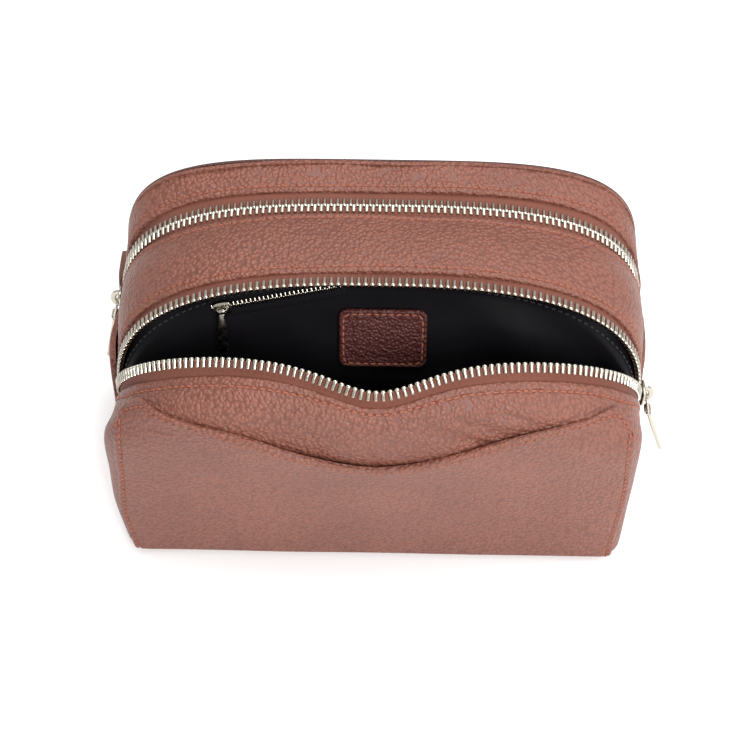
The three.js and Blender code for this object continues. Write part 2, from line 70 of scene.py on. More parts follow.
# The arch over the bag at each depth: y, half-width, height and how square its shoulders are.
ARCH_TABLE = np.array([
    (-57, 119, 146, 2.7),
    (-18, 124, 151, 2.6),
    (8, 127.5, 152.8, 3.0),
    (33, 127.5, 150.3, 3.1),
    (57, 126.5, 156.5, 4.0),
], float)
FOOT_HALF = 119
FLANK_TOP = 70
BACK_Y = 57
FRONT_Y = -60
REAR_ZIP_Y = 33
FRONT_ZIP_Y = -18
ZIP_END_Z = 72
# How far each leather edge stands from its zip's meeting line, behind and in front of the zip.
REVEAL_BACK = 8.0
REVEAL_FRONT = 5.8
FLAP_REVEAL = 7.4
LEATHER = 2.2
SIDE_LEATHER = 1.8
SIDE_SEAM_Y = -27
HINGE_Z = 76
FLAP_LEAN = 25
FLAP_SAG = 14
SAG_HALF_WIDTH = 32
WALL_TOP = np.array([-8.0, 145.0])
WALL_KNEE = np.array([-25.0, 94.0])
WALL_Y = -28
FLOOR_Z = 4.5
STITCH_INSET = 3.0


# ---- Settings ----

def linear(hex_color):
    """An sRGB colour as linear red, green, blue: c/12.92 below 0.04045, else ((c+0.055)/1.055)^2.4."""
    value = hex_color.lstrip("#")
    parts = [int(value[i:i + 2], 16) / 255 for i in (0, 2, 4)]
    return tuple(c / 12.92 if c <= 0.04045 else ((c + 0.055) / 1.055) ** 2.4 for c in parts)


def color_setting(name, about, hex_color):
    return bpy.props.FloatVectorProperty(
        name=name, description=about, subtype="COLOR", size=3, min=0, max=1, default=linear(hex_color))


def length_setting(name, about, millimetres):
    return bpy.props.FloatProperty(
        name=name, description=about, unit="LENGTH", subtype="DISTANCE", min=0, default=millimetres * MM)


class KitBagColors(bpy.types.PropertyGroup):
    """The colours of the bag's materials."""

    leather: color_setting("Leather", "Dyed colour of the pebbled cowhide", "#7c4a3b")
    # Painted shade: this colour darkens the creases between the grain's pebbles, where shade falls.
    crease_shade: color_setting("Grain creases", "Colour down in the grain's creases", "#5f352b")
    edge: color_setting("Edge leather", "Colour of the binding in the back seam", "#4a2a23")
    patch: color_setting("Patch leather", "Colour of the patch sewn inside", "#4e201c")
    thread: color_setting("Thread", "Colour of the stitching thread", "#96563f")
    tape: color_setting("Zip tape", "Colour of the woven zip tape", "#73473b")
    lining: color_setting("Lining", "Colour of the satin lining", "#0d0b0e")
    metal: color_setting("Metal", "Colour of the plated metal", "#bfb9ac")


class KitBagSizes(bpy.types.PropertyGroup):
    """The sizes of the bag's small repeated details."""

    tooth_pitch: length_setting("Tooth pitch", "Distance from one zip tooth to the next in a row", 3.0)
    small_pitch: length_setting("Inner tooth pitch", "Tooth pitch of the inner pocket's zip", 2.0)
    stitch_pitch: length_setting("Stitch pitch", "Distance from one stitch to the next", 3.4)
    grain: length_setting("Grain size", "Width of one pebble of the leather's grain", 1.95)


# ---- Meshes from grids ----

def unit(vectors):
    """Each vector divided by its length."""
    return vectors / np.maximum(np.linalg.norm(vectors, axis=-1, keepdims=True), 1e-12)


def hump(distance, width):
    """1 at no distance, falling off on both sides as exp(-(distance / width)^2)."""
    return np.exp(-((distance / width) ** 2))


def powered(value, power):
    """A number's size raised to a power, with its sign kept."""
    return np.sign(value) * np.abs(value) ** power


def ring_turns(count, shift=0.0):
    """Turns spaced evenly round a circle, the first one a share of a step from zero."""
    return (np.arange(count) + shift) * math.tau / count


def rounded_ring(turn, half_a, half_b, power_a, power_b=None):
    """Points round a rounded rectangle: (a cos^p, b sin^q) with signs kept; q is p if not given."""
    power_b = power_a if power_b is None else power_b
    return np.stack([powered(np.cos(turn), power_a) * half_a, powered(np.sin(turn), power_b) * half_b], -1)


def run_lengths(points):
    """Distance walked along the first axis of a grid of points: the sum of the steps' lengths so far."""
    steps = np.linalg.norm(np.diff(points, axis=0), axis=-1)
    return np.concatenate([np.zeros_like(steps[:1]), np.cumsum(steps, axis=0)])


def grid_normals(grid):
    """The direction square to a grid: step along the rows crossed with step along the columns."""
    return unit(np.cross(np.gradient(grid, axis=0), np.gradient(grid, axis=1)))


def smooth_through(at, values, x):
    """Curves through given values, column by column.

    In each interval it is the cubic whose end slopes are the chord between the two neighbours.
    at holds k rising positions, values is k x columns x parts and x is rows x columns.
    """
    at = np.asarray(at, float)
    slopes = np.gradient(values, at, axis=0)
    x = np.clip(x, at[0], at[-1])
    i = np.clip(np.searchsorted(at, x, side="right") - 1, 0, len(at) - 2)
    column = np.broadcast_to(np.arange(values.shape[1]), x.shape)
    width = (at[i + 1] - at[i])[..., None]
    t = (x - at[i])[..., None] / width
    start, end = values[i, column], values[i + 1, column]
    leave, arrive = slopes[i, column] * width, slopes[i + 1, column] * width
    return (start * (2 * t**3 - 3 * t**2 + 1) + leave * (t**3 - 2 * t**2 + t)
            + end * (3 * t**2 - 2 * t**3) + arrive * (t**3 - t**2))


def smooth_line(at, values, x):
    """smooth_through for one plain number at each position."""
    x = np.asarray(x, float)
    found = smooth_through(at, np.asarray(values, float)[:, None, None], x.reshape(-1, 1))
    return found.reshape(x.shape)


def quads_of(ids):
    """Four-cornered faces between neighbouring rows and columns of a grid of vertex numbers."""
    return np.stack([ids[:-1, :-1], ids[1:, :-1], ids[1:, 1:], ids[:-1, 1:]], -1).reshape(-1, 4)


def slab(outer, inner):
    """A closed shell from two grids, one under the other, with walls round their shared rim."""
    rows, columns = outer.shape[:2]
    ids = np.arange(rows * columns).reshape(rows, columns)
    rim = np.concatenate([ids[0, :-1], ids[:-1, -1], ids[-1, :0:-1], ids[:0:-1, 0]])
    after = np.roll(rim, -1)
    walls = np.stack([rim, after, after + ids.size, rim + ids.size], -1)
    faces = np.concatenate([quads_of(ids), quads_of(ids)[:, ::-1] + ids.size, walls])
    return np.concatenate([outer.reshape(-1, 3), inner.reshape(-1, 3)]), faces


def tube(rings, closed=False):
    """A closed skin over rings of points: rings x an even number of points round x 3.

    An open tube gets flat caps made of strips of faces; a closed one joins its last ring to its first.
    """
    count, around = rings.shape[:2]
    ids = np.arange(count * around).reshape(count, around)
    wrapped = np.concatenate([ids, ids[:, :1]], 1)
    if closed:
        wrapped = np.concatenate([wrapped, wrapped[:1]])
        return rings.reshape(-1, 3), quads_of(wrapped)
    a = np.arange(around // 2 - 1)
    cap = np.stack([a, a + 1, around - 2 - a, around - 1 - a], -1)
    faces = np.concatenate([quads_of(wrapped), cap, cap[:, ::-1] + (count - 1) * around])
    return rings.reshape(-1, 3), faces


def carry(profile, path, up, closed=False):
    """A profile carried along a path: point = path + profile's first number x side + second x up.

    Side is the up direction crossed with the path's direction.
    """
    if closed:
        along = unit(np.roll(path, -1, axis=0) - np.roll(path, 1, axis=0))
    else:
        along = unit(np.gradient(path, axis=0))
    side = unit(np.cross(np.broadcast_to(up, path.shape), along))
    rise = np.cross(along, side)
    rings = path[:, None] + profile[:, :1] * side[:, None] + profile[:, 1:] * rise[:, None]
    return tube(rings, closed)


def repeat(template, origins, axes):
    """Copies of a small shape: origin + x times the first axis + y times the second + z times the third."""
    points, faces = template
    placed = origins[:, None] + np.einsum("vk,nkj->nvj", points, axes)
    numbers = faces[None] + len(points) * np.arange(len(origins))[:, None, None]
    return placed.reshape(-1, 3), numbers.reshape(-1, 4)


def joined(*shapes):
    """Several shapes as one list of points and one of faces."""
    starts = np.cumsum([0] + [len(points) for points, _ in shapes[:-1]])
    return (np.concatenate([points for points, _ in shapes]),
            np.concatenate([faces + start for (_, faces), start in zip(shapes, starts)]))


def facing_out(points, faces):
    """The faces turned so that the volume they close, a sum of a . (b x c) over halves, is positive."""
    a, b, c, d = (points[faces[:, k]] for k in range(4))
    volume = np.sum(a * np.cross(b, c)) + np.sum(a * np.cross(c, d))
    return faces if volume > 0 else faces[:, ::-1]


# Each finish: its material and the slot it belongs to.
COWHIDE = ("Milled cowhide", "bag_leather")
THREAD = ("Bonded polyester thread", "bag_leather")
BINDING = ("Binding cowhide", "leather_edge")
PATCH = ("Patch cowhide", "patch_leather")
PATCH_THREAD = ("Bonded polyester thread", "patch_leather")
SATIN = ("Polyester satin", "satin_lining")
BLACK_THREAD = ("Black sewing thread", "satin_lining")
TAPE = ("Woven zip tape", "zip_tape")
NICKEL = ("Polished nickel plate", "nickel")


def add_piece(name, shape, finish, stands_for=(), body="bag", sharp=40):
    """Makes a mesh object from points in mm and faces, with its finish, body and replaced nodes.

    A piece whose body is None is not attached to a body: its placement is baked into its points.
    """
    points, faces = shape
    mesh = bpy.data.meshes.new(name)
    mesh.from_pydata((points * MM).tolist(), [], facing_out(points, faces).tolist())
    mesh.validate()
    mesh.shade_smooth()
    mesh.set_sharp_from_angle(angle=math.radians(sharp))
    piece = bpy.data.objects.new(name, mesh)
    bpy.context.scene.collection.objects.link(piece)
    mesh.materials.append(bpy.data.materials[finish[0]])
    if body:
        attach(piece, body)
    else:
        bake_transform(piece)
    if stands_for:
        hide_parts(*stands_for)
    return piece


# ---- The bag's outline ----

def arch_at(y):
    """Half-width, height and squareness of the arch at depth y: a smooth curve through the table."""
    y = np.asarray(y, float)
    found = smooth_through(ARCH_TABLE[:, 0], ARCH_TABLE[:, None, 1:], y.reshape(-1, 1))
    return tuple(found[:, 0, k].reshape(y.shape) for k in range(3))


def arch_point(y, turn, inset=0):
    """A superellipse over the bag: x = -half cos^(2/n), z = flank + rise sin^(2/n), turns from 0 to pi."""
    half, height, power = arch_at(y)
    bend = 2 / power
    cosine, sine = np.cos(turn), np.sin(turn)
    x = -powered(cosine, bend) * (half - inset)
    z = FLANK_TOP + np.abs(sine) ** bend * (height - FLANK_TOP - inset)
    return np.stack(np.broadcast_arrays(x, y, z), -1).astype(float)


def turn_at_height(y, z):
    """The turn at which the arch reaches height z on its left side: asin(share^(n/2))."""
    _, height, power = arch_at(y)
    share = np.clip((z - FLANK_TOP) / (height - FLANK_TOP), 0, 1)
    return np.arcsin(share ** (power / 2))


def turns_between(y, left_z, right_z, shares, reference=0.0):
    """Turns spaced evenly by length along the arch at depth y, from one end height to the other.

    The spacing is worked out once at a reference depth and stretched to each row's own two ends.
    """
    first = float(turn_at_height(reference, left_z))
    last = math.pi - float(turn_at_height(reference, right_z))
    dense = np.linspace(first, last, 3000)
    walked = run_lengths(arch_point(reference, dense))
    warp = (np.interp(shares * walked[-1], walked, dense) - first) / (last - first)
    start = turn_at_height(y, left_z)[..., None]
    end = math.pi - turn_at_height(y, right_z)[..., None]
    return start + (end - start) * warp


def outer_x(y, z):
    """The frame's half-width: straight up to the flank's top, then the arch's own curve."""
    half, height, power = arch_at(y)
    straight = FOOT_HALF + (half - FOOT_HALF) * np.clip(z / FLANK_TOP, 0, 1)
    share = np.clip((z - FLANK_TOP) / (height - FLANK_TOP), 0, 1)
    return straight - np.where(z > FLANK_TOP, half * (1 - (1 - share**power) ** (1 / power)), 0)


def fade(x, low, high):
    """0 below low and 1 above high, with the smooth step 3t^2 - 2t^3 between."""
    t = np.clip((x - low) / (high - low), 0, 1)
    return t * t * (3 - 2 * t)


# How far the soft sides stand out at each height, by the front seam and further back,
# and their slump to the left.
SIDE_HEIGHTS = [0, 26, 47, 60, 71, 85, 100]
SWELL_FRONT = [2.4, 3.3, 1.5, 0.2, -0.7, -0.6, -0.6]
SWELL_REAR = [0.8, 1.4, 1.6, 1.3, 0.9, 0.8, 0.8]
SLUMP_FRONT = [2.0, 3.2, 3.0, 2.0, 1.2, 1.5, 1.5]
SLUMP_REAR = [0.5, 1.0, 1.5, 1.7, 1.7, 1.6, 1.6]


def belly_x(side, y, z):
    """Half-width of the soft side: the frame's, its swell and slump, and a dent under the rear pull."""
    back = fade(y, -26, 0)
    swell_front, swell_rear, slump_front, slump_rear = (
        smooth_line(SIDE_HEIGHTS, table, z) for table in (SWELL_FRONT, SWELL_REAR, SLUMP_FRONT, SLUMP_REAR))
    front, rear = swell_front - side * slump_front, swell_rear - side * slump_rear
    dent = 1.7 * (1 - side) * hump(y - REAR_ZIP_Y + 9, 14) * fade(z, 45, 68)
    return outer_x(y, z) + SIDE_LEATHER + front * (1 - back) + (rear - dent) * back


def lean(points, degrees):
    """Points of the closed bag turned forward about the line through the front zip's two ends."""
    angle = np.radians(degrees)
    forward, up = points[..., 1] - FRONT_ZIP_Y, points[..., 2] - HINGE_Z
    y = FRONT_ZIP_Y + forward * np.cos(angle) - up * np.sin(angle)
    z = HINGE_Z + up * np.cos(angle) + forward * np.sin(angle)
    return np.stack([points[..., 0], y, z], -1)


def flap_angle(x):
    """The free edge's lean: a steady angle plus a sag that is largest in the middle."""
    return FLAP_LEAN + FLAP_SAG / (1 + (x / SAG_HALF_WIDTH) ** 2)


# ---- Leather surfaces ----

EDGE_STEPS = np.array([0, 0.12, 0.35, 0.7, 1.15, 1.7, 2.3, 2.65, 2.85, 3.0, 3.15, 3.35, 3.7, 4.4, 5.4])


def spaced(length, step, last_edge=True):
    """Distances from 0 to length, close together near the edges that are rolled and sewn."""
    high = length - (EDGE_STEPS if last_edge else np.array([0.0]))[::-1]
    count = max(int(round((high[0] - EDGE_STEPS[-1]) / step)), 1)
    return np.concatenate([EDGE_STEPS[:-1], np.linspace(EDGE_STEPS[-1], high[0], count + 1), high[1:]])


def sewn_edge(distance, roll=0.9, inset=STITCH_INSET, depth=0.42):
    """Height of leather at a distance from its edge: a rolled edge, a plump rim, a groove at the thread."""
    plump = 0.3 * hump(distance - inset * 0.58, 0.7)
    groove = depth * hump(distance - inset, 0.45)
    return plump + rolled_edge(distance, roll) - groove


def rolled_edge(distance, roll=1.2):
    """Height of leather at a distance from a plain turned edge: a quarter-round."""
    within = np.clip(roll - distance, 0, roll)
    return np.sqrt(np.maximum(roll**2 - within**2, 0)) - roll


def ripple(points, seed, size, amount):
    """Slow unevenness of a soft surface: nine sine waves of about that size, in random directions."""
    draw = np.random.default_rng(seed)
    waves = draw.normal(size=(9, 3)) * 2 * math.pi / size / math.sqrt(3)
    starts = draw.uniform(0, 2 * math.pi, 9)
    return amount * np.sin(points @ waves.T + starts).mean(-1) * 3


RIPPLE_SIZE = 46


def leather_shell(grid, lift, thickness=LEATHER, seed=1, slack=0.35):
    """A leather panel: the grid raised along its normals by lift and unevenness, over a plain underside."""
    normals = grid_normals(grid)
    raised = lift + ripple(grid, seed, RIPPLE_SIZE, slack)
    outer = grid + normals * raised[..., None]
    inner = grid + normals * (np.minimum(raised, 0.4) - thickness)[..., None]
    return outer, slab(outer, inner)


def line_at(grid, distances, wanted, axis=0):
    """The row of a grid (or the column, for axis 1) nearest to a wanted distance, and its normals."""
    i = int(np.argmin(np.abs(distances - wanted)))
    return np.take(grid, i, axis), np.take(grid_normals(grid), i, axis)


# ---- Stitches ----

STITCH_LONG = 2.5
STITCH_WIDE = 0.5


def stitch_template():
    """One stitch: eight-sided rings along x, proud in the middle, with ends that dive into the leather."""
    along = np.array([-0.5, -0.38, 0, 0.38, 0.5]) * STITCH_LONG
    radius = np.array([0.35, 0.8, 1, 0.8, 0.35]) * STITCH_WIDE
    rise = np.array([-0.25, 0.2, 0.36, 0.2, -0.25])
    turn = ring_turns(8)
    rings = np.stack([
        np.broadcast_to(along[:, None], (5, 8)),
        radius[:, None] * np.cos(turn),
        radius[:, None] * 0.85 * np.sin(turn) + rise[:, None],
    ], -1)
    return tube(rings)


def frames_along(path, normals, pitch, offset=0.0):
    """Evenly spaced places on a path: origins, and axes along it, across it and out of the surface."""
    walked = run_lengths(path)
    marks = np.arange(pitch / 2 + offset, walked[-1] - pitch / 3, pitch)
    pick = lambda rows: np.stack([np.interp(marks, walked, rows[:, k]) for k in range(3)], -1)
    along = unit(pick(np.gradient(path, axis=0)))
    out = pick(normals)
    out = unit(out - along * np.sum(out * along, -1, keepdims=True))
    return pick(path), np.stack([along, np.cross(out, along), out], 1)


def stitches(lines):
    """Rows of stitches on several lines, each line a path and its normals."""
    pitch = bpy.context.scene.kit_bag_sizes.stitch_pitch / MM
    return joined(*[repeat(stitch_template(), *frames_along(path, out, pitch)) for path, out in lines])


# ---- The front panel ----

KEY_AT = np.array([0, 0.06, 0.19, 0.48, 0.75, 1.0])
CORNER_RADIUS = 11
CORNER_START = FOOT_HALF + 2 - CORNER_RADIUS
CORNER_LENGTH = math.pi / 2 * CORNER_RADIUS
WING_LENGTH = SIDE_SEAM_Y - FRONT_Y - CORNER_RADIUS
OUTLINE_HALF = CORNER_START + CORNER_LENGTH + WING_LENGTH
CREST_CAP = 112.0
CREST_DROP = 8.5
CREST_SOFT = 4.0
# Each lower key curve's height, as a share of the crest's, and how far its middle is pushed forward.
BULGE = ((1.0, 16.5), (0.62, 9.5), (0.31, 3.2), (0.0, 0.0))


def front_outline(walk):
    """The front's plan outline, by length from its middle: straight, a quarter circle, then straight back."""
    length = np.abs(walk)
    turn = np.clip((length - CORNER_START) / CORNER_RADIUS, 0, math.pi / 2)
    x = np.minimum(length, CORNER_START) + CORNER_RADIUS * np.sin(turn)
    back = np.clip(length - CORNER_START - CORNER_LENGTH, 0, None)
    return np.sign(walk) * x, FRONT_Y + CORNER_RADIUS * (1 - np.cos(turn)) + back


def front_keys(walk):
    """Key curves of the front panel, from the zip's edge to the base, for columns by outline length.

    The top curve is the leaned arch; below the crest each curve is the plan outline at its own height,
    widened to the belly and pushed forward in the middle.
    """
    shares = (walk / OUTLINE_HALF + 1) / 2
    lip_y = np.array([FRONT_ZIP_Y - FLAP_REVEAL])
    lip = arch_point(lip_y[:, None], turns_between(lip_y, 77, 79, shares, FRONT_ZIP_Y))[0]
    top = lean(lip, flap_angle(lip[:, 0]))
    x, y = front_outline(walk)
    side = np.where(walk < 0, -1.0, 1.0)
    # The crest lies below the top curve and no higher than its cap, with a soft change between the two.
    crest = -CREST_SOFT * np.logaddexp(-CREST_CAP / CREST_SOFT, -(top[:, 2] - CREST_DROP) / CREST_SOFT)
    crest = crest - 4 * hump(x, 45)
    middle = np.clip(1 - (x / 119) ** 2, 0, 1)
    curves = []
    for height, push in BULGE:
        z = 3 + (crest - 3) * height
        half = belly_x(side, float(SIDE_SEAM_Y), z)
        curves.append(np.stack([x / (FOOT_HALF + 2) * half, y - push * middle, z], -1))
    step = curves[0] - top
    roll = top + step * np.array([0.3, 0.62, 0.25])
    return np.stack([top, roll, *curves])


def creases(points, lines):
    """Depth of short creases: for each one, depth x exp(-(distance to its line / width)^2)."""
    depth = np.zeros(points.shape[:-1])
    for start, end, width, deep in lines:
        start, end = np.array(start, float), np.array(end, float)
        run = end - start
        flat = points[..., [0, 2]]
        share = np.clip(((flat - start) @ run) / (run @ run), 0, 1)
        off = np.linalg.norm(flat - start - share[..., None] * run, axis=-1)
        depth += deep * hump(off, width) * np.sin(math.pi * np.clip(share, 0.03, 0.97))
    return depth


# Soft creases by the flap's fold: start and end (x, z), half-width and depth.
FRONT_CREASES = [
    ((14, 124), (44, 112), 2.6, 0.9),
    ((26, 128), (60, 113), 2.4, 0.8),
    ((40, 130), (74, 118), 2.2, 0.8),
    ((34, 116), (58, 104), 2.8, 0.6),
    ((58, 131), (86, 122), 2.4, 0.6),
    ((-10, 122), (-34, 112), 3.0, 0.6),
    ((96, 118), (112, 104), 2.4, 0.7),
    ((-88, 126), (-108, 112), 3.4, 0.6),
]


def fine_wrinkles(seed, count, low, high, slant):
    """Short random creases in a region: middle, length and slant drawn evenly, for creases()."""
    draw = np.random.default_rng(seed)
    middles = draw.uniform(low, high, (count, 2))
    lengths = draw.uniform(3, 8, count)[:, None]
    angles = np.radians(draw.uniform(slant - 24, slant + 24, count))
    runs = np.stack([np.sin(angles), np.cos(angles)], -1) * lengths
    depths = draw.uniform(0.18, 0.42, count)
    return [(m - r, m + r, 0.95, d) for m, r, d in zip(middles, runs, depths)]


FRONT_CREASES += fine_wrinkles(7, 34, (2, 99), (74, 125), 28)
FRONT_CREASES += fine_wrinkles(8, 14, (-44, 98), (4, 120), -20)
FRONT_CREASES += fine_wrinkles(9, 10, (92, 92), (113, 112), 8)


def front_surface(walk, rows):
    """The front panel's outer surface at rows (0 at the zip, 1 at the base) x columns, with its creases."""
    grid = smooth_through(KEY_AT, front_keys(walk), rows)
    return grid - grid_normals(grid) * (1.4 * creases(grid, FRONT_CREASES))[..., None]


def row_at_height(walk, height):
    """How far down each column reaches a height: halving the interval where the surface crosses it."""
    keys = front_keys(walk)
    low, high = np.full(len(walk), 0.04), np.ones(len(walk))
    for _ in range(26):
        middle = (low + high) / 2
        above = smooth_through(KEY_AT, keys, middle[None])[0, :, 2] > height
        low, high = np.where(above, middle, low), np.where(above, high, middle)
    return (low + high) / 2


# ---- Materials ----

def add(tree, kind, inputs=None, **settings):
    """Adds a node: settings are its properties, and inputs are values or outputs to link by socket."""
    node = tree.nodes.new(kind)
    for key, value in settings.items():
        setattr(node, key, value)
    for key, value in (inputs or {}).items():
        if isinstance(value, bpy.types.NodeSocket):
            tree.links.new(value, node.inputs[key])
        else:
            node.inputs[key].default_value = value
    return node


def new_material(name):
    """An empty node material with a shader and an output, and its object coordinates."""
    material = bpy.data.materials.new(name)
    material.use_nodes = True
    tree = material.node_tree
    tree.nodes.clear()
    shader = add(tree, "ShaderNodeBsdfPrincipled")
    add(tree, "ShaderNodeOutputMaterial", {"Surface": shader.outputs["BSDF"]})
    coords = add(tree, "ShaderNodeTexCoord").outputs["Object"]
    return tree, shader, coords


def rgba(color):
    """A colour with full opacity."""
    return (*color, 1.0)


def shade(color, factor):
    """A colour made darker or lighter."""
    return rgba([min(c * factor, 1.0) for c in color])


def mix_colors(tree, factor, low, high):
    """A colour between low and high."""
    node = add(tree, "ShaderNodeMix", {"Factor": factor, 6: low, 7: high}, data_type="RGBA")
    return node.outputs[2]


def map_range(tree, value, low, high, to_low, to_high):
    """A value taken from one range to another by a smooth step."""
    node = add(tree, "ShaderNodeMapRange", {
        "Value": value, "From Min": low, "From Max": high, "To Min": to_low, "To Max": to_high,
    }, interpolation_type="SMOOTHSTEP")
    return node.outputs["Result"]


def link_finish(tree, shader, color, rough, bump):
    """Links a material's colour, roughness and bump to its shader."""
    for socket, value in (("Base Color", color), ("Roughness", rough), ("Normal", bump.outputs["Normal"])):
        tree.links.new(value, shader.inputs[socket])


def noise(tree, coords, scale, detail):
    """A noise texture of the object's coordinates."""
    return add(tree, "ShaderNodeTexNoise", {"Vector": coords, "Scale": scale, "Detail": detail})


def bumps(tree, height, strength, distance):
    """A bump node for a height from 0 to 1 that stands for a distance in metres."""
    return add(tree, "ShaderNodeBump", {"Height": height, "Strength": strength, "Distance": distance})


def pebbled_leather(name, color, crease_shade, grain, roughness):
    """Milled cowhide with a pebbled grain, dyed and lightly finished: highlights broken up by pebbles.

    Pebbles are rounded cells of the grain size with narrow creases between, painted darker as shade; fine
    pores lie on top.
    """
    tree, shader, coords = new_material(name)
    warp = noise(tree, coords, 0.5 / grain, 1.0)
    shifted = add(tree, "ShaderNodeVectorMath", {
        0: warp.outputs["Color"], 1: (0.5, 0.5, 0.5)}, operation="SUBTRACT")
    bent = add(tree, "ShaderNodeVectorMath", {
        0: shifted.outputs[0], 1: (grain * 0.8,) * 3, 2: coords}, operation="MULTIPLY_ADD")
    cells = add(tree, "ShaderNodeTexVoronoi", {
        "Vector": bent.outputs[0], "Scale": 1 / grain, "Randomness": 0.95}, feature="F1")
    pebble = map_range(tree, cells.outputs["Distance"], 0.15, 0.8, 1.0, 0.0)
    pores = noise(tree, coords, 2.2 / grain, 3.0)
    height = add(tree, "ShaderNodeMath", {
        0: pores.outputs["Fac"], 1: 0.3, 2: pebble}, operation="MULTIPLY_ADD").outputs[0]
    bump = bumps(tree, height, 1.0, grain * 0.27)
    patches = noise(tree, coords, 26.0, 4.0)
    tone = mix_colors(tree, map_range(tree, patches.outputs["Fac"], 0.3, 0.7, 0.0, 1.0),
                      shade(color, 0.92), shade(color, 1.07))
    # Painted shade: the colour darkens from each pebble's middle towards its edge, into the crease shade
    # colour.
    groove = map_range(tree, cells.outputs["Distance"], 0.4, 0.85, 1.0, 0.25)
    finish = mix_colors(tree, groove, rgba(crease_shade), tone)
    rough = map_range(tree, pores.outputs["Fac"], 0.3, 0.7, roughness - 0.06, roughness + 0.08)
    link_finish(tree, shader, finish, rough, bump)
    shader.inputs["Specular IOR Level"].default_value = 0.5


def polished_nickel(name, color):
    """Zinc die castings and brass teeth, nickel plated and polished: bright, with a faintly uneven mirror."""
    tree, shader, coords = new_material(name)
    haze = noise(tree, coords, 420.0, 3.0)
    rough = map_range(tree, haze.outputs["Fac"], 0.3, 0.7, 0.13, 0.26)
    tone = mix_colors(tree, haze.outputs["Fac"], shade(color, 0.93), shade(color, 1.04))
    bump = bumps(tree, haze.outputs["Fac"], 0.08, 0.0002)
    shader.inputs["Metallic"].default_value = 1.0
    link_finish(tree, shader, tone, rough, bump)


def woven_cloth(name, color, pitch, roughness, sheen, bump_height, bright):
    """Woven polyester: two crossed sets of threads, dry and matt for tape and smoother for satin.

    Real satin threads are about 0.15 mm apart, too fine to show, so the pitch given here is coarser.
    """
    tree, shader, coords = new_material(name)
    heights = []
    for direction in ("X", "Z"):
        wave = add(tree, "ShaderNodeTexWave", {
            "Vector": coords, "Scale": 1 / pitch / math.tau * 2, "Distortion": 0.6, "Detail": 1.0},
            wave_type="BANDS", bands_direction=direction)
        heights.append(wave.outputs["Fac"])
    weave = add(tree, "ShaderNodeMath", {0: heights[0], 1: heights[1]}, operation="MULTIPLY").outputs[0]
    bump = bumps(tree, weave, 0.5, bump_height)
    blotch = noise(tree, coords, 60.0, 3.0)
    tone = mix_colors(tree, blotch.outputs["Fac"], shade(color, 0.85), shade(color, bright))
    rough = map_range(tree, blotch.outputs["Fac"], 0.3, 0.7, roughness - 0.05, roughness + 0.05)
    link_finish(tree, shader, tone, rough, bump)
    shader.inputs["Sheen Weight"].default_value = sheen
    shader.inputs["Specular IOR Level"].default_value = 0.12


def twisted_thread(name, color):
    """Bonded polyester thread, twisted: a low gloss and a fine slanting lay of light and dark."""
    tree, shader, coords = new_material(name)
    wave = add(tree, "ShaderNodeTexWave", {
        "Vector": coords, "Scale": 900.0, "Distortion": 1.5, "Detail": 1.0}, bands_direction="DIAGONAL")
    tone = mix_colors(tree, wave.outputs["Fac"], shade(color, 0.78), shade(color, 1.1))
    bump = bumps(tree, wave.outputs["Fac"], 0.4, 0.00012)
    tree.links.new(tone, shader.inputs["Base Color"])
    tree.links.new(bump.outputs["Normal"], shader.inputs["Normal"])
    shader.inputs["Roughness"].default_value = 0.58


class KITBAG_OT_materials(bpy.types.Operator):
    """Mix the leather, metal, cloth and thread finishes"""

    bl_idname = "kitbag.materials"
    bl_label = "Materials"

    def execute(self, context):
        colors = context.scene.kit_bag_colors
        grain = context.scene.kit_bag_sizes.grain
        # Each leather's second colour is painted shade for the creases of its grain.
        pebbled_leather("Milled cowhide", colors.leather, colors.crease_shade, grain, 0.47)
        pebbled_leather("Binding cowhide", colors.edge, shade(colors.edge, 0.7)[:3], grain * 0.7, 0.5)
        pebbled_leather("Patch cowhide", colors.patch, shade(colors.patch, 0.6)[:3], grain * 0.75, 0.5)
        polished_nickel("Polished nickel plate", colors.metal)
        woven_cloth("Woven zip tape", colors.tape, 0.0009, 0.8, 0.1, 0.0002, 1.12)
        woven_cloth("Polyester satin", colors.lining, 0.0007, 0.6, 0.0, 0.00006, 1.2)
        twisted_thread("Bonded polyester thread", colors.thread)
        twisted_thread("Black sewing thread", linear("#1c191c"))
        woven_cloth("Pressed fibre board", linear("#6f675c"), 0.0012, 0.9, 0.0, 0.0001, 1.1)
        return {"FINISHED"}


# ---- Operators: leather pieces ----

def band_piece(node, back_y, front_y, sew_back, seed):
    """A leather strip over the arch between two depths, sewn in front and, beside a zip, behind too."""
    across = spaced(back_y - front_y, 2.4)
    y = back_y - across
    turns = turns_between(y, ZIP_END_Z, ZIP_END_Z, np.linspace(0, 1, 211))
    grid = arch_point(y[:, None], turns)
    to_back, to_front = across[:, None], (across[-1] - across)[:, None]
    lift = ((sewn_edge if sew_back else rolled_edge)(to_back)
            + sewn_edge(to_front)) + np.zeros(grid.shape[:2])
    outer, shape = leather_shell(grid, lift, seed=seed)
    add_piece(f"{node}_leather", shape, COWHIDE, [node])
    insets = [STITCH_INSET] * sew_back + [across[-1] - STITCH_INSET]
    return [line_at(outer, across, inset) for inset in insets]


class KITBAG_OT_bands(bpy.types.Operator):
    """Build the two leather bands over the top and their stitching"""

    bl_idname = "kitbag.bands"
    bl_label = "Top bands"

    def execute(self, context):
        lines = band_piece("rear_band", BACK_Y - 0.6, REAR_ZIP_Y + REVEAL_BACK, False, 3)
        middle = REAR_ZIP_Y - REVEAL_FRONT, FRONT_ZIP_Y + REVEAL_BACK - 0.6
        lines += band_piece("middle_band", *middle, True, 5)
        add_piece("band_stitches", stitches(lines), THREAD)
        return {"FINISHED"}


SIDE_TOP_FRONT = 86
SIDE_TOP_BACK = 94
SIDE_FOOT_Z = 2.6
NOTCH_DEPTH = 21
NOTCH_HALF_WIDTH = 7.2
# Stitches stop this far from a zip's meeting line, where the edge dips into its notch.
NOTCH_CLEAR = 9.5


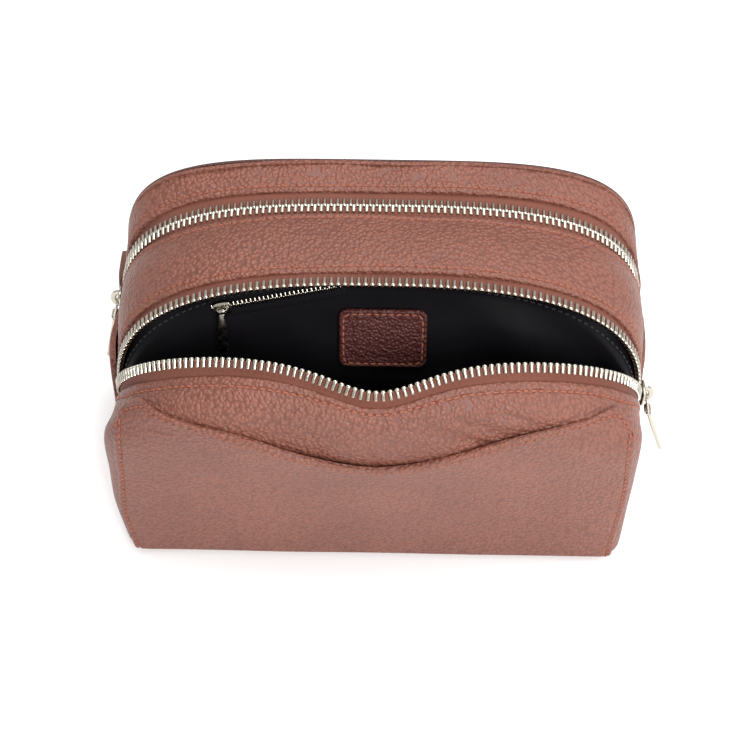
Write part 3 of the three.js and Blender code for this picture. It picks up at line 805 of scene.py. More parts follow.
def side_top(y):
    """Height of a side panel's top edge: a slope, low at the rear zip and from the front zip forward."""
    slope = SIDE_TOP_FRONT + (SIDE_TOP_BACK - SIDE_TOP_FRONT) * (y - SIDE_SEAM_Y) / (BACK_Y - SIDE_SEAM_Y)
    rear = np.exp(-(((y - REAR_ZIP_Y) / NOTCH_HALF_WIDTH) ** 4))
    front = 1 - fade(y, FRONT_ZIP_Y + 4, FRONT_ZIP_Y + 9)
    return slope - NOTCH_DEPTH * np.clip(rear + front, 0, 1)


def side_piece(side):
    """A soft side panel between the front seam and the back, with its sewn and notched top edge."""
    y = np.linspace(BACK_Y + 0.3, SIDE_SEAM_Y - 2.5, 90)
    top = side_top(y)
    share = spaced(100, 3.4, last_edge=False)
    z = top[:, None] + (SIDE_FOOT_Z - top[:, None]) * share / 100
    distance = top[:, None] - z
    x = belly_x(side, y[:, None], z) + 0.4 * fade(z, 55, 80)
    grid = np.stack(np.broadcast_arrays(side * x, y[:, None], z), -1)
    # Columns run left to right as seen from outside, so that the normals point out of the bag.
    grid = np.swapaxes(grid, 0, 1)
    grid = grid if side < 0 else grid[:, ::-1]
    distance = distance.T if side < 0 else distance.T[:, ::-1]
    lift = sewn_edge(distance, roll=1.0)
    outer, shape = leather_shell(grid, lift, SIDE_LEATHER, seed=11 + side, slack=0.5)
    name = "left" if side < 0 else "right"
    add_piece(f"side_leather_{name}", shape, COWHIDE, [f"side_panel_{name}"])
    line, out = line_at(outer, share * 0.9, STITCH_INSET)
    to_zip = np.minimum(np.abs(line[:, 1] - REAR_ZIP_Y), np.abs(line[:, 1] - FRONT_ZIP_Y))
    keep = to_zip > NOTCH_CLEAR
    parts = np.split(np.arange(len(line)), np.nonzero(np.diff(keep.astype(int)))[0] + 1)
    return [(line[p], out[p]) for p in parts if keep[p[0]] and len(p) > 8]


PIPING_RADIUS = 0.85


class KITBAG_OT_shell(bpy.types.Operator):
    """Build the side panels, back panel, back binding and base"""

    bl_idname = "kitbag.shell"
    bl_label = "Sides, back and base"

    def execute(self, context):
        lines = side_piece(-1) + side_piece(1)
        add_piece("side_stitches", stitches(lines), THREAD)
        self.back()
        self.base()
        return {"FINISHED"}

    def back(self):
        """The back: straight lines from the foot up to the outline of flanks and arch, slightly pillowed."""
        shares = np.linspace(0, 1, 150)
        y = np.array([float(BACK_Y)])
        arch = arch_point(y[:, None], turns_between(y, FLANK_TOP, FLANK_TOP, shares))[0]
        flank = np.linspace(14, 69, 16)
        left = np.stack([-outer_x(BACK_Y, flank), np.full(16, BACK_Y), flank], -1)
        right = left[::-1] * np.array([-1, 1, 1])
        rim = np.concatenate([left, arch, right])
        foot = np.stack([np.linspace(-FOOT_HALF, FOOT_HALF, len(rim)), np.full(len(rim), BACK_Y),
                         np.full(len(rim), 2.7)], -1)
        rows = spaced(100, 3)[:, None, None] / 100
        grid = (rim + (foot - rim) * rows)[:, ::-1]
        middle = (1 - np.abs(grid[..., 0] / 128) ** 3) * np.sin(math.pi * np.clip(grid[..., 2] / 156, 0, 1))
        lift = 2.2 * np.clip(middle, 0, 1) - 0.8
        _, shape = leather_shell(grid, lift, seed=21, slack=0.6)
        add_piece("back_leather", shape, COWHIDE, ["back_panel"])
        arch[:, [0, 2]] += unit(arch[:, [0, 2]] - np.array([0, 60])) * -0.7
        ends = np.array([[-FOOT_HALF - 1.6, BACK_Y, 3.5]]), np.array([[FOOT_HALF + 1.6, BACK_Y, 3.5]])
        legs = [end + (arch[i] - end) * np.linspace(0, 0.94, 18)[:, None] for end, i in zip(ends, (0, -1))]
        path = np.concatenate([legs[0], arch, legs[1][::-1]]) + np.array([0, 0.2, 0])
        profile = rounded_ring(ring_turns(12), PIPING_RADIUS, PIPING_RADIUS, 1)
        add_piece("back_piping", carry(profile, path, np.array([0, 1.0, 0])), BINDING, ["back_binding"])

    def base(self):
        """The base: rows across the bag, as wide as the foot of the sides and the front's corners."""
        depth = spaced(BACK_Y - FRONT_Y - 1, 3)
        y = BACK_Y - 0.5 - depth
        corner = np.clip(CORNER_RADIUS - (y - FRONT_Y - 0.4), 0, CORNER_RADIUS)
        cut = CORNER_RADIUS - np.sqrt(np.maximum(CORNER_RADIUS**2 - corner**2, 0))
        across = np.linspace(-1, 1, 120)
        side = np.where(across < 0, -1.0, 1.0)
        half = belly_x(side[None], np.maximum(y, SIDE_SEAM_Y)[:, None], SIDE_FOOT_Z) - 0.6 - cut[:, None]
        grid = np.stack(np.broadcast_arrays(across * half, y[:, None], 2.4), -1)
        under = grid * np.array([0.992, 0.992, 0])
        add_piece("base_leather", slab(grid, under), COWHIDE, ["base_panel"])
        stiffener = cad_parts["base_stiffener"]
        stiffener.data.materials.clear()
        stiffener.data.materials.append(bpy.data.materials["Pressed fibre board"])


# The slip pocket's top edge: height above the base at each place across the front.
POCKET_X = [-118, -116.5, -114, -109, -102, -93, -78, -57, -35, 0, 35, 57, 75, 90, 101, 109, 114, 116.5, 118]
POCKET_Z = [86, 95, 102, 109, 113.5, 116, 115, 112, 105.5, 97,
            105.5, 112.5, 116, 117, 114.5, 109, 102, 95, 86]
POCKET_WALK = 116.0
# Lengths from the zip, and from the pocket's mouth, down to the base.
FRONT_LENGTH = 134
POCKET_LENGTH = 110


class KITBAG_OT_front(bpy.types.Operator):
    """Build the front panel with its flap, the slip pocket and their stitching"""

    bl_idname = "kitbag.front"
    bl_label = "Front and slip pocket"

    def execute(self, context):
        walk = spaced(2 * OUTLINE_HALF, 1.25) - OUTLINE_HALF
        down = spaced(FRONT_LENGTH, 1.25)
        grid = front_surface(walk, np.broadcast_to(down[:, None] / FRONT_LENGTH, (len(down), len(walk))))
        to_zip, to_base = down[:, None], (FRONT_LENGTH - down)[:, None]
        to_seam = (OUTLINE_HALF - np.abs(walk))[None]
        lift = sewn_edge(to_zip) + rolled_edge(to_base, 1.6) + rolled_edge(to_seam, 1.6)
        outer, shape = leather_shell(grid, lift, seed=31, slack=0.5)
        add_piece("front_leather", shape, COWHIDE, ["front_flap", "front_panel"], body=None)
        lines = [line_at(outer, down, STITCH_INSET)]
        lines += self.pocket()
        add_piece("front_stitches", stitches(lines), THREAD, body=None)
        return {"FINISHED"}

    def pocket(self):
        """The slip pocket, on the front panel from its dipping, slightly gaping mouth to the base."""
        walk = spaced(2 * POCKET_WALK, 1.5) - POCKET_WALK
        top = row_at_height(walk, smooth_line(POCKET_X, POCKET_Z, front_outline(walk)[0]))
        down = spaced(POCKET_LENGTH, 1.8)
        rows = top[None] + (0.995 - top[None]) * down[:, None] / POCKET_LENGTH
        grid = smooth_through(KEY_AT, front_keys(walk), rows)
        to_mouth, to_base = down[:, None], (POCKET_LENGTH - down)[:, None]
        to_side = (POCKET_WALK - np.abs(walk))[None]
        gape = 1.5 * hump(to_mouth, 9) * np.clip(1.3 - (walk[None] / 112) ** 6, 0.5, 1)
        lift = (1.9 + gape + sewn_edge(to_mouth, roll=0.9) + sewn_edge(to_side, roll=1.3)
                + rolled_edge(to_base, 1.2))
        normals = grid_normals(grid)
        outer = grid + normals * (lift + ripple(grid, 33, RIPPLE_SIZE, 0.3))[..., None]
        under = outer - normals * (1.3 + 2.2 * fade(to_mouth, 3, 12))[..., None]
        shape = slab(outer, under)
        add_piece("slip_pocket_leather", shape, COWHIDE,
                  ["slip_pocket_upper", "slip_pocket_lower"], body=None)
        lines = [line_at(outer, down, STITCH_INSET)]
        columns = walk + POCKET_WALK
        for wanted in (STITCH_INSET, 2 * POCKET_WALK - STITCH_INSET):
            line, out = line_at(outer, columns, wanted, 1)
            lines.append((line[8:-1], out[8:-1]))
        return lines


# ---- Operators: linings ----

LINING_THICK = 0.7
WALL_RIM_Y = -14.0
# The wall's cloth leaves the zip's tape at this depth.
WALL_HANG_Y = -13.6


def wall_depth(z):
    """The wall between the compartments: it leans back above its knee and hangs straight below it."""
    above = (z - WALL_KNEE[1]) / (WALL_TOP[1] - WALL_KNEE[1])
    return np.where(above > 0, WALL_KNEE[0] + above * (WALL_TOP[0] - WALL_KNEE[0]),
                    WALL_Y + (WALL_KNEE[0] - WALL_Y) * fade(z, 60, 94))


class KITBAG_OT_linings(bpy.types.Operator):
    """Build the satin linings of both compartments"""

    bl_idname = "kitbag.linings"
    bl_label = "Linings"

    def execute(self, context):
        self.wall()
        self.facing()
        self.trays()
        return {"FINISHED"}

    def wall(self):
        """The satin wall: rows from the zip's tape down to the floor, with slanting folds on the right."""
        across = np.linspace(-1, 1, 181)
        share = np.linspace(0, 1, 110)[:, None]
        ends = ZIP_END_Z + 6
        turns = turns_between(np.array([WALL_RIM_Y]), ends, ends, (across + 1) / 2, WALL_RIM_Y)
        rim = arch_point(WALL_RIM_Y, turns, 3.2)[0]
        foot_x = across * (FOOT_HALF - 5)
        x = rim[:, 0] + (foot_x - rim[:, 0]) * fade(share, 0.0, 0.9)
        z = rim[:, 2] + (FLOOR_Z + 1 - rim[:, 2]) * share
        y = wall_depth(z)
        drop = rim[:, 2] - z
        y = WALL_HANG_Y + (y - WALL_HANG_Y) * fade(drop, -1, 9)
        folds = np.sin((x * 0.9 + z * 0.55) / 8.5) * fade(x, 20, 70) * 1.8
        folds += np.sin((x * 0.6 - z * 0.8) / 13) * 0.9
        y = y - folds * fade(drop, 5, 22) * (1 - 0.6 * fade(-z, -60, -30))
        grid = np.stack([x, y, z], -1)
        back = grid + np.array([0, LINING_THICK, 0])
        piece = add_piece("lining_wall", slab(grid, back), SATIN, ["divider_wall"])
        self.declare(piece, grid, ["middle_band_leather"])
        out = grid_normals(grid)[5]
        add_piece("lining_stitches", stitches([(grid[5] + out * 0.1, out)]), BLACK_THREAD)

    def facing(self):
        """The front's lining: the front panel's own surface moved inwards, softly folded."""
        walk = np.linspace(-OUTLINE_HALF + 1, OUTLINE_HALF - 1, 200)
        rows = np.broadcast_to(np.linspace(0.02, 0.965, 80)[:, None], (80, 200))
        grid = front_surface(walk, rows)
        normals = grid_normals(grid)
        inner = grid - normals * (LEATHER + 1.6 + ripple(grid, 41, 34, 0.7))[..., None]
        shape = slab(inner, inner - normals * LINING_THICK)
        piece = add_piece("lining_front", shape, SATIN, ["front_flap_lining"], body=None)
        self.declare(piece, inner, ["front_leather"])

    def trays(self):
        """Open-topped linings: rings round a rounded plan, from the rim down, closed by a floor."""
        for name, front, back, top, node in (
                ("lining_front_floor", -52.4, WALL_Y - 0.6, 26.0, "front_compartment_lining"),
                ("lining_rear", WALL_Y + 6.0, BACK_Y - 4.5, 92.0, "rear_compartment_lining")):
            plan = rounded_ring(ring_turns(120), FOOT_HALF - 5.5, (back - front) / 2, 0.35)
            middle = np.array([0, (front + back) / 2])
            levels = [(top, 1.0), (top * 0.6, 1.0), (top * 0.3, 1.0), (FLOOR_Z + 1.2, 1.0),
                      (FLOOR_Z + 0.4, 0.985), (FLOOR_Z + 0.4, 0.02)]
            outer = [np.column_stack([middle + plan * size, np.full(120, z)]) for z, size in levels]
            inner = [np.column_stack([middle + plan * size * 0.992, np.full(120, max(z, FLOOR_Z + 1))])
                     for z, size in levels]
            rings = np.stack(outer + inner[::-1])
            add_piece(name, tube(rings, closed=True), SATIN, [node])

    def declare(self, piece, grid, rests_on):
        """Does nothing with the lining it is given."""


# ---- Operators: zips ----

def tooth_template(length=4.6, wide=2.3, thick=2.3):
    """One tooth: eight-sided rings across the tape, a rounded lobe at the meeting end and a bar behind.

    x runs along the zip, y away from the meeting line and z out of the surface.
    """
    across = np.array([0, 0.05, 0.17, 0.3, 0.4, 0.9, 1.0]) * length
    half = np.array([0.5, 0.88, 1.0, 0.9, 0.72, 0.72, 0.6]) * wide / 2
    tall = np.array([0.5, 0.88, 1.0, 0.9, 0.8, 0.8, 0.6]) * thick / 2
    turn = ring_turns(8, 0.5)
    rings = np.stack([
        half[:, None] * np.cos(turn) / math.cos(math.pi / 8),
        np.broadcast_to(across[:, None], (7, 8)),
        tall[:, None] * np.sin(turn) / math.cos(math.pi / 8),
    ], -1)
    return tube(rings)


def zip_grid(depths, count, y, left_z, right_z, leaned):
    """Lines over the arch at the given depths about a zip at y, leaned with the flap where they are on it."""
    turns = turns_between(depths, left_z, right_z, np.linspace(0, 1, count), float(y))
    grid = arch_point(depths[:, None], turns)
    return lean(grid, flap_angle(grid[..., 0])) if leaned else grid


TOOTH_OVERLAP = 0.7
TOOTH_SINK = 0.55


def teeth_row(name, toward, shift, body, run):
    """Teeth at an even pitch along the arch: heads past the meeting line, tails toward the leather."""
    y = run[0]
    grid = zip_grid(np.array([y + 1.5, y, y - 1.5]), 900, *run)
    pitch = bpy.context.scene.kit_bag_sizes.tooth_pitch / MM
    origins, axes = frames_along(grid[1], grid_normals(grid)[1], pitch, shift)
    axes = axes * np.array([1, toward, 1])[:, None]
    origins = origins - axes[:, 1] * TOOTH_OVERLAP - axes[:, 2] * TOOTH_SINK
    teeth = repeat(tooth_template(), origins, axes)
    add_piece(f"{name}_metal_teeth", teeth, NICKEL, [f"{name}_teeth"], body, sharp=50)


def tape_piece(name, toward, body, run):
    """The woven tape under a row of teeth, from its rounded beaded edge out under the leather."""
    across = np.array([0.4, 0.9, 1.6, 2.6, 3.6, 4.4, 5.2, 6.2, 7.2, 8.2, 9.4])
    depths = np.sort(run[0] + toward * across)[::-1]
    grid = zip_grid(depths, 260, *run)
    distance = np.abs(depths - run[0])[:, None]
    bead = 0.5 * hump(distance - 0.9, 0.7)
    normals = grid_normals(grid)
    sink = 1.15 + 0.9 * fade(distance, 3.2, 6.2)
    outer = grid + normals * (bead - sink)[..., None]
    inner = grid - normals * (sink + 0.6 + bead)[..., None]
    add_piece(f"{name}_woven_tape", slab(outer, inner), TAPE, [f"{name}_tape"], body)


# Each half of a zip: name, direction of its tape, shift of its teeth, body, and its run:
# depth, left and right end heights, and whether it leans with the flap.
ZIP_SIDES = [
    ("rear_zip_back", 1, 0.0, "bag", (REAR_ZIP_Y, 76, 72, False)),
    ("rear_zip_front", -1, 1.5, "bag", (REAR_ZIP_Y, 76, 72, False)),
    ("front_zip_back", 1, 0.0, "bag", (FRONT_ZIP_Y, 74, 72, False)),
    ("front_zip_front", -1, 1.5, "flap", (FRONT_ZIP_Y, 77, 84, True)),
]


class KITBAG_OT_zips(bpy.types.Operator):
    """Build the teeth, tapes and stops of the two main zips"""

    bl_idname = "kitbag.zips"
    bl_label = "Main zips"

    def execute(self, context):
        for name, toward, shift, body, run in ZIP_SIDES:
            teeth_row(name, toward, shift, body, run)
            tape_piece(name, toward, body, run)
        for name in ("rear", "front"):
            low, high = (np.array(corner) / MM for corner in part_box(f"{name}_zip_bottom_stop"))
            middle, size = (low + high) / 2, (high - low) / 2
            ring = np.column_stack([np.zeros(16), rounded_ring(ring_turns(16), 1, 1, 0.4)])
            levels = np.array([(-1, 0.85), (-0.7, 1), (0.5, 1), (1, 0.75)])
            rings = middle + (ring[None] * levels[:, 1, None, None] + levels[:, 0, None, None]
                              * np.array([1.0, 0, 0])) * size
            add_piece(f"{name}_zip_stop_bar", tube(rings), NICKEL, [f"{name}_zip_bottom_stop"])
        return {"FINISHED"}


# ---- Operators: sliders and pulls ----

def rounded_plate(outline, low, high, bevel):
    """A plate with rounded rims: an outline in Y and Z, stacked along X and drawn in at both faces."""
    middle = (outline.max(0) + outline.min(0)) / 2
    reach = np.abs(outline - middle).max(0)
    levels = [(low, bevel), (low + 0.3 * bevel, 0.3 * bevel), (low + bevel, 0), (high - bevel, 0),
              (high - 0.3 * bevel, 0.3 * bevel), (high, bevel)]
    inwards = outline - middle
    rings = [np.column_stack([np.full(len(outline), x), middle + inwards * (1 - inset / reach)])
             for x, inset in levels]
    return tube(np.stack(rings))


def shield(half_wide, half_long, flare):
    """A slider plate's outline: a rounded rectangle whose upper end is wider by the flare."""
    outline = rounded_ring(ring_turns(40, 0.5), half_wide, half_long, 0.5, 0.62)
    outline[:, 0] *= 1 + flare * outline[:, 1] / half_long
    return outline


def rounded_profile(half_a, half_b, power=0.55):
    """The cross-section of a bent bar: a rounded rectangle."""
    return rounded_ring(ring_turns(12, 0.5), half_a, half_b, power)


def pull_outline(count, power, middle, half_long, half_wide, narrowing):
    """A pull's outline: a rounded rectangle that hangs below its pivot, narrower toward the top."""
    outline = rounded_ring(ring_turns(count, 0.5), 1, half_long, power) + np.array([0, middle])
    outline[:, 0] *= half_wide - narrowing * fade(outline[:, 1], -12, -1)
    return outline


def slider_shape(flare):
    """A cast slider: two plates, the web that parts the rows, side flanges and the loop over the top."""
    top = rounded_plate(shield(4.8, 6, flare), 0.8, 2.2, 0.5)
    under = rounded_plate(shield(4.8, 6, flare), -6.1, -4.8, 0.45)
    web = rounded_plate(shield(0.3, 2.2, 0) + np.array([0, 3 * np.sign(flare)]), -5.2, 1.4, 0.1)
    turn = np.linspace(0, math.pi, 17)
    path = np.stack([1.5 + 4.1 * np.sin(turn) ** 0.7, np.zeros(17), -4.2 * np.cos(turn)], -1)
    loop = carry(rounded_profile(1.45, 0.62), path, np.array([0, 1.0, 0])[None])
    return joined(top, under, web, loop)


# How far each zip's link and pull stand off the vertical, held out by the side of the bag, in degrees.
HANG = {"front": (12, 20), "rear": (16, 14)}
LINK_PIVOT = np.array([3.8, 0, -2.0])
LINK_DROP = 9.9
LINK_HALF_WIDE = 3.7


def swung(shape, degrees, pivot):
    """A shape turned out from the bag about its local Y axis, then moved to its pivot."""
    c, s = math.cos(math.radians(degrees)), math.sin(math.radians(degrees))
    turn = np.array([[c, 0, s], [0, 1, 0], [-s, 0, c]])
    return shape[0] @ turn + pivot, shape[1]


def link_shape():
    """The wire link: a round wire bent into a long rounded loop that hangs from the slider's loop."""
    loop = rounded_ring(ring_turns(48), LINK_HALF_WIDE, 1, 0.45) - np.array([0, 1])
    path = np.column_stack([np.zeros(48), loop * np.array([1, LINK_DROP / 2])])
    return carry(rounded_profile(0.62, 0.62, 1.0), path, np.array([1.0, 0, 0]), closed=True)


def pull_shape():
    """The pull: a tapered plate with softly rounded faces under a knuckle rolled round the link's wire."""
    turn = ring_turns(56, 0.5)[::2]
    path = np.stack([np.cos(turn) * 1.4, np.zeros(28), np.sin(turn) * 1.4], -1)
    knuckle = carry(rounded_profile(0.38, 2.4, 0.4), path, np.array([0, 1.0, 0]), closed=True)
    return joined(rounded_plate(pull_outline(56, 0.35, -15.6, 14.4, 4.5, 1.9), -0.85, 0.85, 0.45), knuckle)


class KITBAG_OT_sliders(bpy.types.Operator):
    """Build the two main zips' sliders, links and pulls"""

    bl_idname = "kitbag.sliders"
    bl_label = "Sliders and pulls"

    def execute(self, context):
        for name, side, y, z, flare in (
                ("front", 1, float(FRONT_ZIP_Y), 79.0, 0.12),
                ("rear", -1, float(REAR_ZIP_Y), 85.0, -0.12)):
            face = abs(arch_point(y, turn_at_height(y, z))[0])
            turn = np.array([[side, 0, 0], [0, side, 0], [0, 0, 1.0]])
            link_angle, pull_angle = HANG[name]
            hang = math.radians(link_angle)
            pull_pivot = LINK_PIVOT + LINK_DROP * np.array([math.sin(hang), 0, -math.cos(hang)])
            for part, body, (points, faces) in (
                    ("slider", "zip_slider", slider_shape(flare)),
                    ("pull_link", "link", swung(link_shape(), link_angle, LINK_PIVOT)),
                    ("pull_tab", "pull", swung(pull_shape(), pull_angle, pull_pivot))):
                placed = points @ turn + np.array([side * face, y, z])
                add_piece(f"{name}_{part}_metal", (placed, faces), NICKEL,
                          [f"{name}_{part}"], f"{name}_{body}")
        return {"FINISHED"}


# ---- Operators: inner pocket and patch ----

def wall_frame(x, z, tilt):
    """Origin and axes of a place on the leaning wall: right, up the wall and out of it, turned by a tilt."""
    angle = math.atan2(WALL_TOP[0] - WALL_KNEE[0], WALL_TOP[1] - WALL_KNEE[1])
    share = (WALL_TOP[1] - z) / (WALL_TOP[1] - WALL_KNEE[1])
    y = WALL_TOP[0] + share * (WALL_KNEE[0] - WALL_TOP[0])
    right, up = np.array([1.0, 0, 0]), np.array([0, math.sin(angle), math.cos(angle)])
    out = np.array([0, -math.cos(angle), math.sin(angle)])
    c, s = math.cos(math.radians(tilt)), math.sin(math.radians(tilt))
    return np.array([x, y, z]), np.stack([c * right + s * up, -s * right + c * up, out])


def in_frame(shape, place):
    """A shape moved from local axes to its place on the wall."""
    origin, axes = place
    return origin + shape[0] @ axes, shape[1]


def upright(shape):
    """A plate made along X turned to lie in the wall: X becomes out, Y right and Z up."""
    points, faces = shape
    return points[:, [1, 2, 0]], faces


PATCH_HALF = np.array([20, 15])
PATCH_CORNER = 4.0
# Height of the inner pull's pivot above its tape.
INNER_PIVOT = 6.5


class KITBAG_OT_inner_pocket(bpy.types.Operator):
    """Build the inner pocket's zip, slider and pull, its pouch and the leather patch"""

    bl_idname = "kitbag.inner_pocket"
    bl_label = "Inner pocket and patch"

    def execute(self, context):
        self.patch()
        self.zip()
        return {"FINISHED"}

    def patch(self):
        """The patch: a rounded rectangle sewn near its edge, with a plain pressed frame line inside."""
        place = wall_frame(2.0, 116.0, 0)
        y, z = (spaced(2 * half, 1.0) for half in PATCH_HALF)
        grid = np.stack(np.meshgrid(y - PATCH_HALF[0], PATCH_HALF[1] - z), -1)
        straight = PATCH_HALF - PATCH_CORNER
        inner = np.clip(np.abs(grid) - straight, 0, None)
        reach = np.linalg.norm(inner, axis=-1, keepdims=True)
        pull = np.where(reach > 0, inner.max(-1, keepdims=True) / np.maximum(reach, 1e-9), 1)
        flat = np.sign(grid) * (np.minimum(np.abs(grid), straight) + inner * pull)
        near = (PATCH_HALF - np.abs(grid)).min(-1)
        frame_line = 0.35 * hump(near - 5.4, 0.35)
        lift = 2.0 + sewn_edge(near, roll=0.7, inset=2.0, depth=0.3) - frame_line
        top = np.concatenate([flat, lift[..., None]], -1)
        bottom = np.concatenate([flat, np.full(lift.shape + (1,), 0.7)], -1)
        patch = in_frame(slab(top[::-1], bottom[::-1]), place)
        add_piece("patch_leather_plain", patch, PATCH, ["leather_patch"])
        seam = rounded_ring(np.linspace(0, math.tau, 400), *(PATCH_HALF - 2), 0.22)
        line = np.column_stack([seam, np.full(400, 1.95)])
        out = np.broadcast_to(np.array([0, 0, 1.0]), line.shape)
        origins, axes = frames_along(line, out, 3.4)
        add_piece("patch_stitches", in_frame(repeat(stitch_template(), origins, axes), place), PATCH_THREAD)

    def zip(self):
        """The inner zip: tape, two rows of small teeth, its slider with a loop, and a hanging pull."""
        place = wall_frame(-70.0, 131.0, 12)
        pitch = bpy.context.scene.kit_bag_sizes.small_pitch / MM
        x = np.linspace(-6, 56, 60)
        y = np.array([6, 5.2, 4.2, 2.2, 0, -2.2, -4.2, -5.2, -6])
        tape = np.stack([*np.meshgrid(x, y), np.full((9, 60), 1.0)], -1)
        tape[..., 2] += 0.35 * hump(np.abs(tape[..., 1]) - 4.6, 0.6)
        under = tape * np.array([1, 1, 0]) + np.array([0, 0, 0.5])
        add_piece("inner_zip_woven_tape", in_frame(slab(tape, under), place), SATIN, ["pocket_zip_tape"])
        small = tooth_template(2.1, 1.1, 1.3)
        for name, toward, shift in (("upper", 1, 0.0), ("lower", -1, 1.0)):
            spots = np.arange(-5 + shift, 55.5, pitch)
            origins = np.stack([spots, np.full(len(spots), -0.3 * toward), np.full(len(spots), 1.9)], -1)
            axes = np.broadcast_to(np.diag([1.0, toward, 1.0]), (len(spots), 3, 3))
            add_piece(f"inner_zip_{name}_metal_teeth", in_frame(repeat(small, origins, axes), place),
                      NICKEL, [f"pocket_zip_{name}_teeth"], sharp=50)
        body = upright(rounded_plate(shield(3.1, 4.1, 0.0)[:, ::-1], 3.2, 4.4, 0.35))
        turn = np.linspace(0, math.pi, 15)
        path = np.stack([-2.4 * np.cos(turn), np.zeros(15), 4.1 + 2.6 * np.sin(turn) ** 0.7], -1)
        loop = carry(rounded_profile(0.5, 0.35), path, np.array([0, 1.0, 0]))
        add_piece("inner_slider_metal", in_frame(joined(body, loop), place), NICKEL,
                  ["pocket_slider"], "inner_slider")
        turn = ring_turns(24)
        ring = np.stack([np.zeros(24), 1.15 * np.cos(turn), INNER_PIVOT + 1.15 * np.sin(turn)], -1)
        knuckle = carry(rounded_profile(0.32, 1.2, 0.4), ring, np.array([1.0, 0, 0]), closed=True)
        outline = pull_outline(40, 0.4, -11.6, 10.4, 2.3, 0.9)
        plate, faces = upright(rounded_plate(outline, -0.55, 0.55, 0.3))
        tilt = math.radians(-12)
        c, s = math.cos(tilt), math.sin(tilt)
        plate = plate @ np.array([[c, s, 0], [-s, c, 0], [0, 0, 1]]) + np.array([0, 0, INNER_PIVOT])
        add_piece("inner_pull_metal", in_frame(joined((plate, faces), knuckle), place), NICKEL,
                  ["pocket_pull"], "inner_pull")
        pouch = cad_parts["inner_pocket_pouch"]
        low, high = (np.array(corner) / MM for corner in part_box(pouch.name))
        across, tall = np.linspace(0, 1, 50), np.linspace(0, 1, 24)[:, None]
        puff = np.sin(math.pi * across) * np.sin(math.pi * tall)
        z = high[2] + (low[2] - high[2]) * tall
        x = low[0] + (high[0] - low[0]) * across
        shape = np.stack(np.broadcast_arrays(x, wall_depth(z) + 2.0, z), -1)
        rear = shape + np.array([0, 1.0, 0]) * (0.8 + 2.4 * puff)[..., None]
        add_piece("inner_pouch_cloth", slab(shape, rear), SATIN,
                  ["inner_pocket_pouch"])


# ---- Operators: studio ----

VIEW_ELEVATION = 50.0
VIEW_AZIMUTH = 1.2
VIEW_DISTANCE = 0.680
VIEW_TARGET = (-0.002, 0.0, 0.068)
VIEW_LENS = 66.5
WORLD_STRENGTH = 0.64
FLOOR_GLOW = 0.12
LIGHT_TARGET = (0, 0, 0.08)
# Each light: name, place and width in metres, and power in watts.
LIGHTS = (
    ("overhead_softbox", (0.1, 0.25, 1.4), 1.0, 14),
    ("front_softbox", (0.45, -1.2, 0.9), 0.6, 17),
    ("right_softbox", (1.2, -0.2, 0.8), 0.8, 5),
)


def aim(thing, target):
    """Turns a camera or light so that its -Z points at the target."""
    thing.rotation_euler = (Vector(target) - thing.location).to_track_quat("-Z", "Y").to_euler()


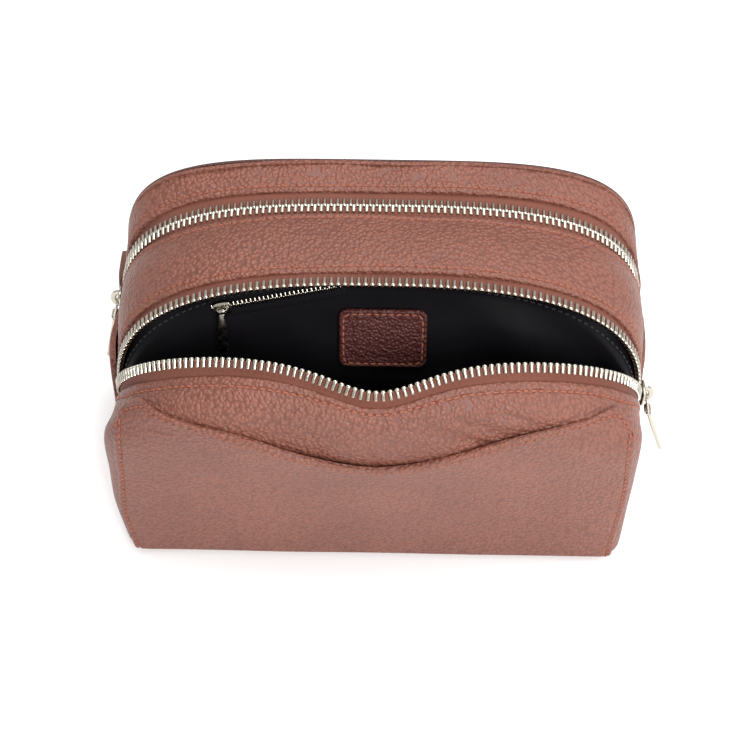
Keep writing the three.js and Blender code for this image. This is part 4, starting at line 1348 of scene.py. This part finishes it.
class KITBAG_OT_stage(bpy.types.Operator):
    """Set up the pale floor, the soft lights and the camera"""

    bl_idname = "kitbag.stage"
    bl_label = "Studio"

    def execute(self, context):
        scene = context.scene
        _, shader, _ = new_material("Matt white paper")
        shader.inputs["Base Color"].default_value = rgba(linear("#f6f6f6"))
        shader.inputs["Emission Color"].default_value = (1, 1, 1, 1)
        shader.inputs["Emission Strength"].default_value = FLOOR_GLOW
        shader.inputs["Roughness"].default_value = 0.9
        bpy.ops.mesh.primitive_plane_add(size=8, location=(0, 0, -0.0003))
        floor = context.object
        floor.name = "studio_floor"
        floor.data.materials.append(bpy.data.materials["Matt white paper"])
        for name, place, size, power in LIGHTS:
            light = bpy.data.lights.new(name, "AREA")
            light.shape, light.size, light.energy = "SQUARE", size, power
            lamp = bpy.data.objects.new(name, light)
            scene.collection.objects.link(lamp)
            lamp.location = place
            aim(lamp, LIGHT_TARGET)
        world = bpy.data.worlds.new("White studio")
        world.use_nodes = True
        background = world.node_tree.nodes["Background"]
        background.inputs["Color"].default_value = (1, 1, 1, 1)
        background.inputs["Strength"].default_value = WORLD_STRENGTH
        scene.world = world
        scene.view_settings.view_transform = "Standard"
        camera = bpy.data.objects.new("camera", bpy.data.cameras.new("camera"))
        scene.collection.objects.link(camera)
        a, e = math.radians(VIEW_AZIMUTH), math.radians(VIEW_ELEVATION)
        back = Vector((math.sin(a) * math.cos(e), -math.cos(a) * math.cos(e), math.sin(e)))
        camera.location = Vector(VIEW_TARGET) + back * VIEW_DISTANCE
        camera.data.sensor_width = 36
        camera.data.lens = VIEW_LENS
        camera.data.clip_start = 0.01
        aim(camera, VIEW_TARGET)
        scene.camera = camera
        return {"FINISHED"}


# ---- Panel and registration ----

STEPS = (
    KITBAG_OT_materials,
    KITBAG_OT_stage,
    KITBAG_OT_bands,
    KITBAG_OT_shell,
    KITBAG_OT_front,
    KITBAG_OT_linings,
    KITBAG_OT_zips,
    KITBAG_OT_sliders,
    KITBAG_OT_inner_pocket,
)


class KITBAG_PT_panel(bpy.types.Panel):
    """Lists the bag's settings and its building steps"""

    bl_idname = "KITBAG_PT_panel"
    bl_label = "Kit Bag"
    bl_space_type = "VIEW_3D"
    bl_region_type = "UI"
    bl_category = "Kit Bag"

    def draw(self, context):
        for group in (context.scene.kit_bag_colors, context.scene.kit_bag_sizes):
            for key in group.__annotations__:
                self.layout.prop(group, key)
        for step in STEPS:
            self.layout.operator(step.bl_idname)


CLASSES = (KitBagColors, KitBagSizes, *STEPS, KITBAG_PT_panel)


def register():
    for made in CLASSES:
        bpy.utils.register_class(made)
    bpy.types.Scene.kit_bag_colors = bpy.props.PointerProperty(type=KitBagColors)
    bpy.types.Scene.kit_bag_sizes = bpy.props.PointerProperty(type=KitBagSizes)


def unregister():
    del bpy.types.Scene.kit_bag_sizes
    del bpy.types.Scene.kit_bag_colors
    for made in reversed(CLASSES):
        bpy.utils.unregister_class(made)


def main():
    """Builds every piece in order."""
    register()
    for step in STEPS:
        group, action = step.bl_idname.split(".")
        getattr(getattr(bpy.ops, group), action)()
    bpy.context.view_layer.update()


if __name__ == "__main__":
    main()
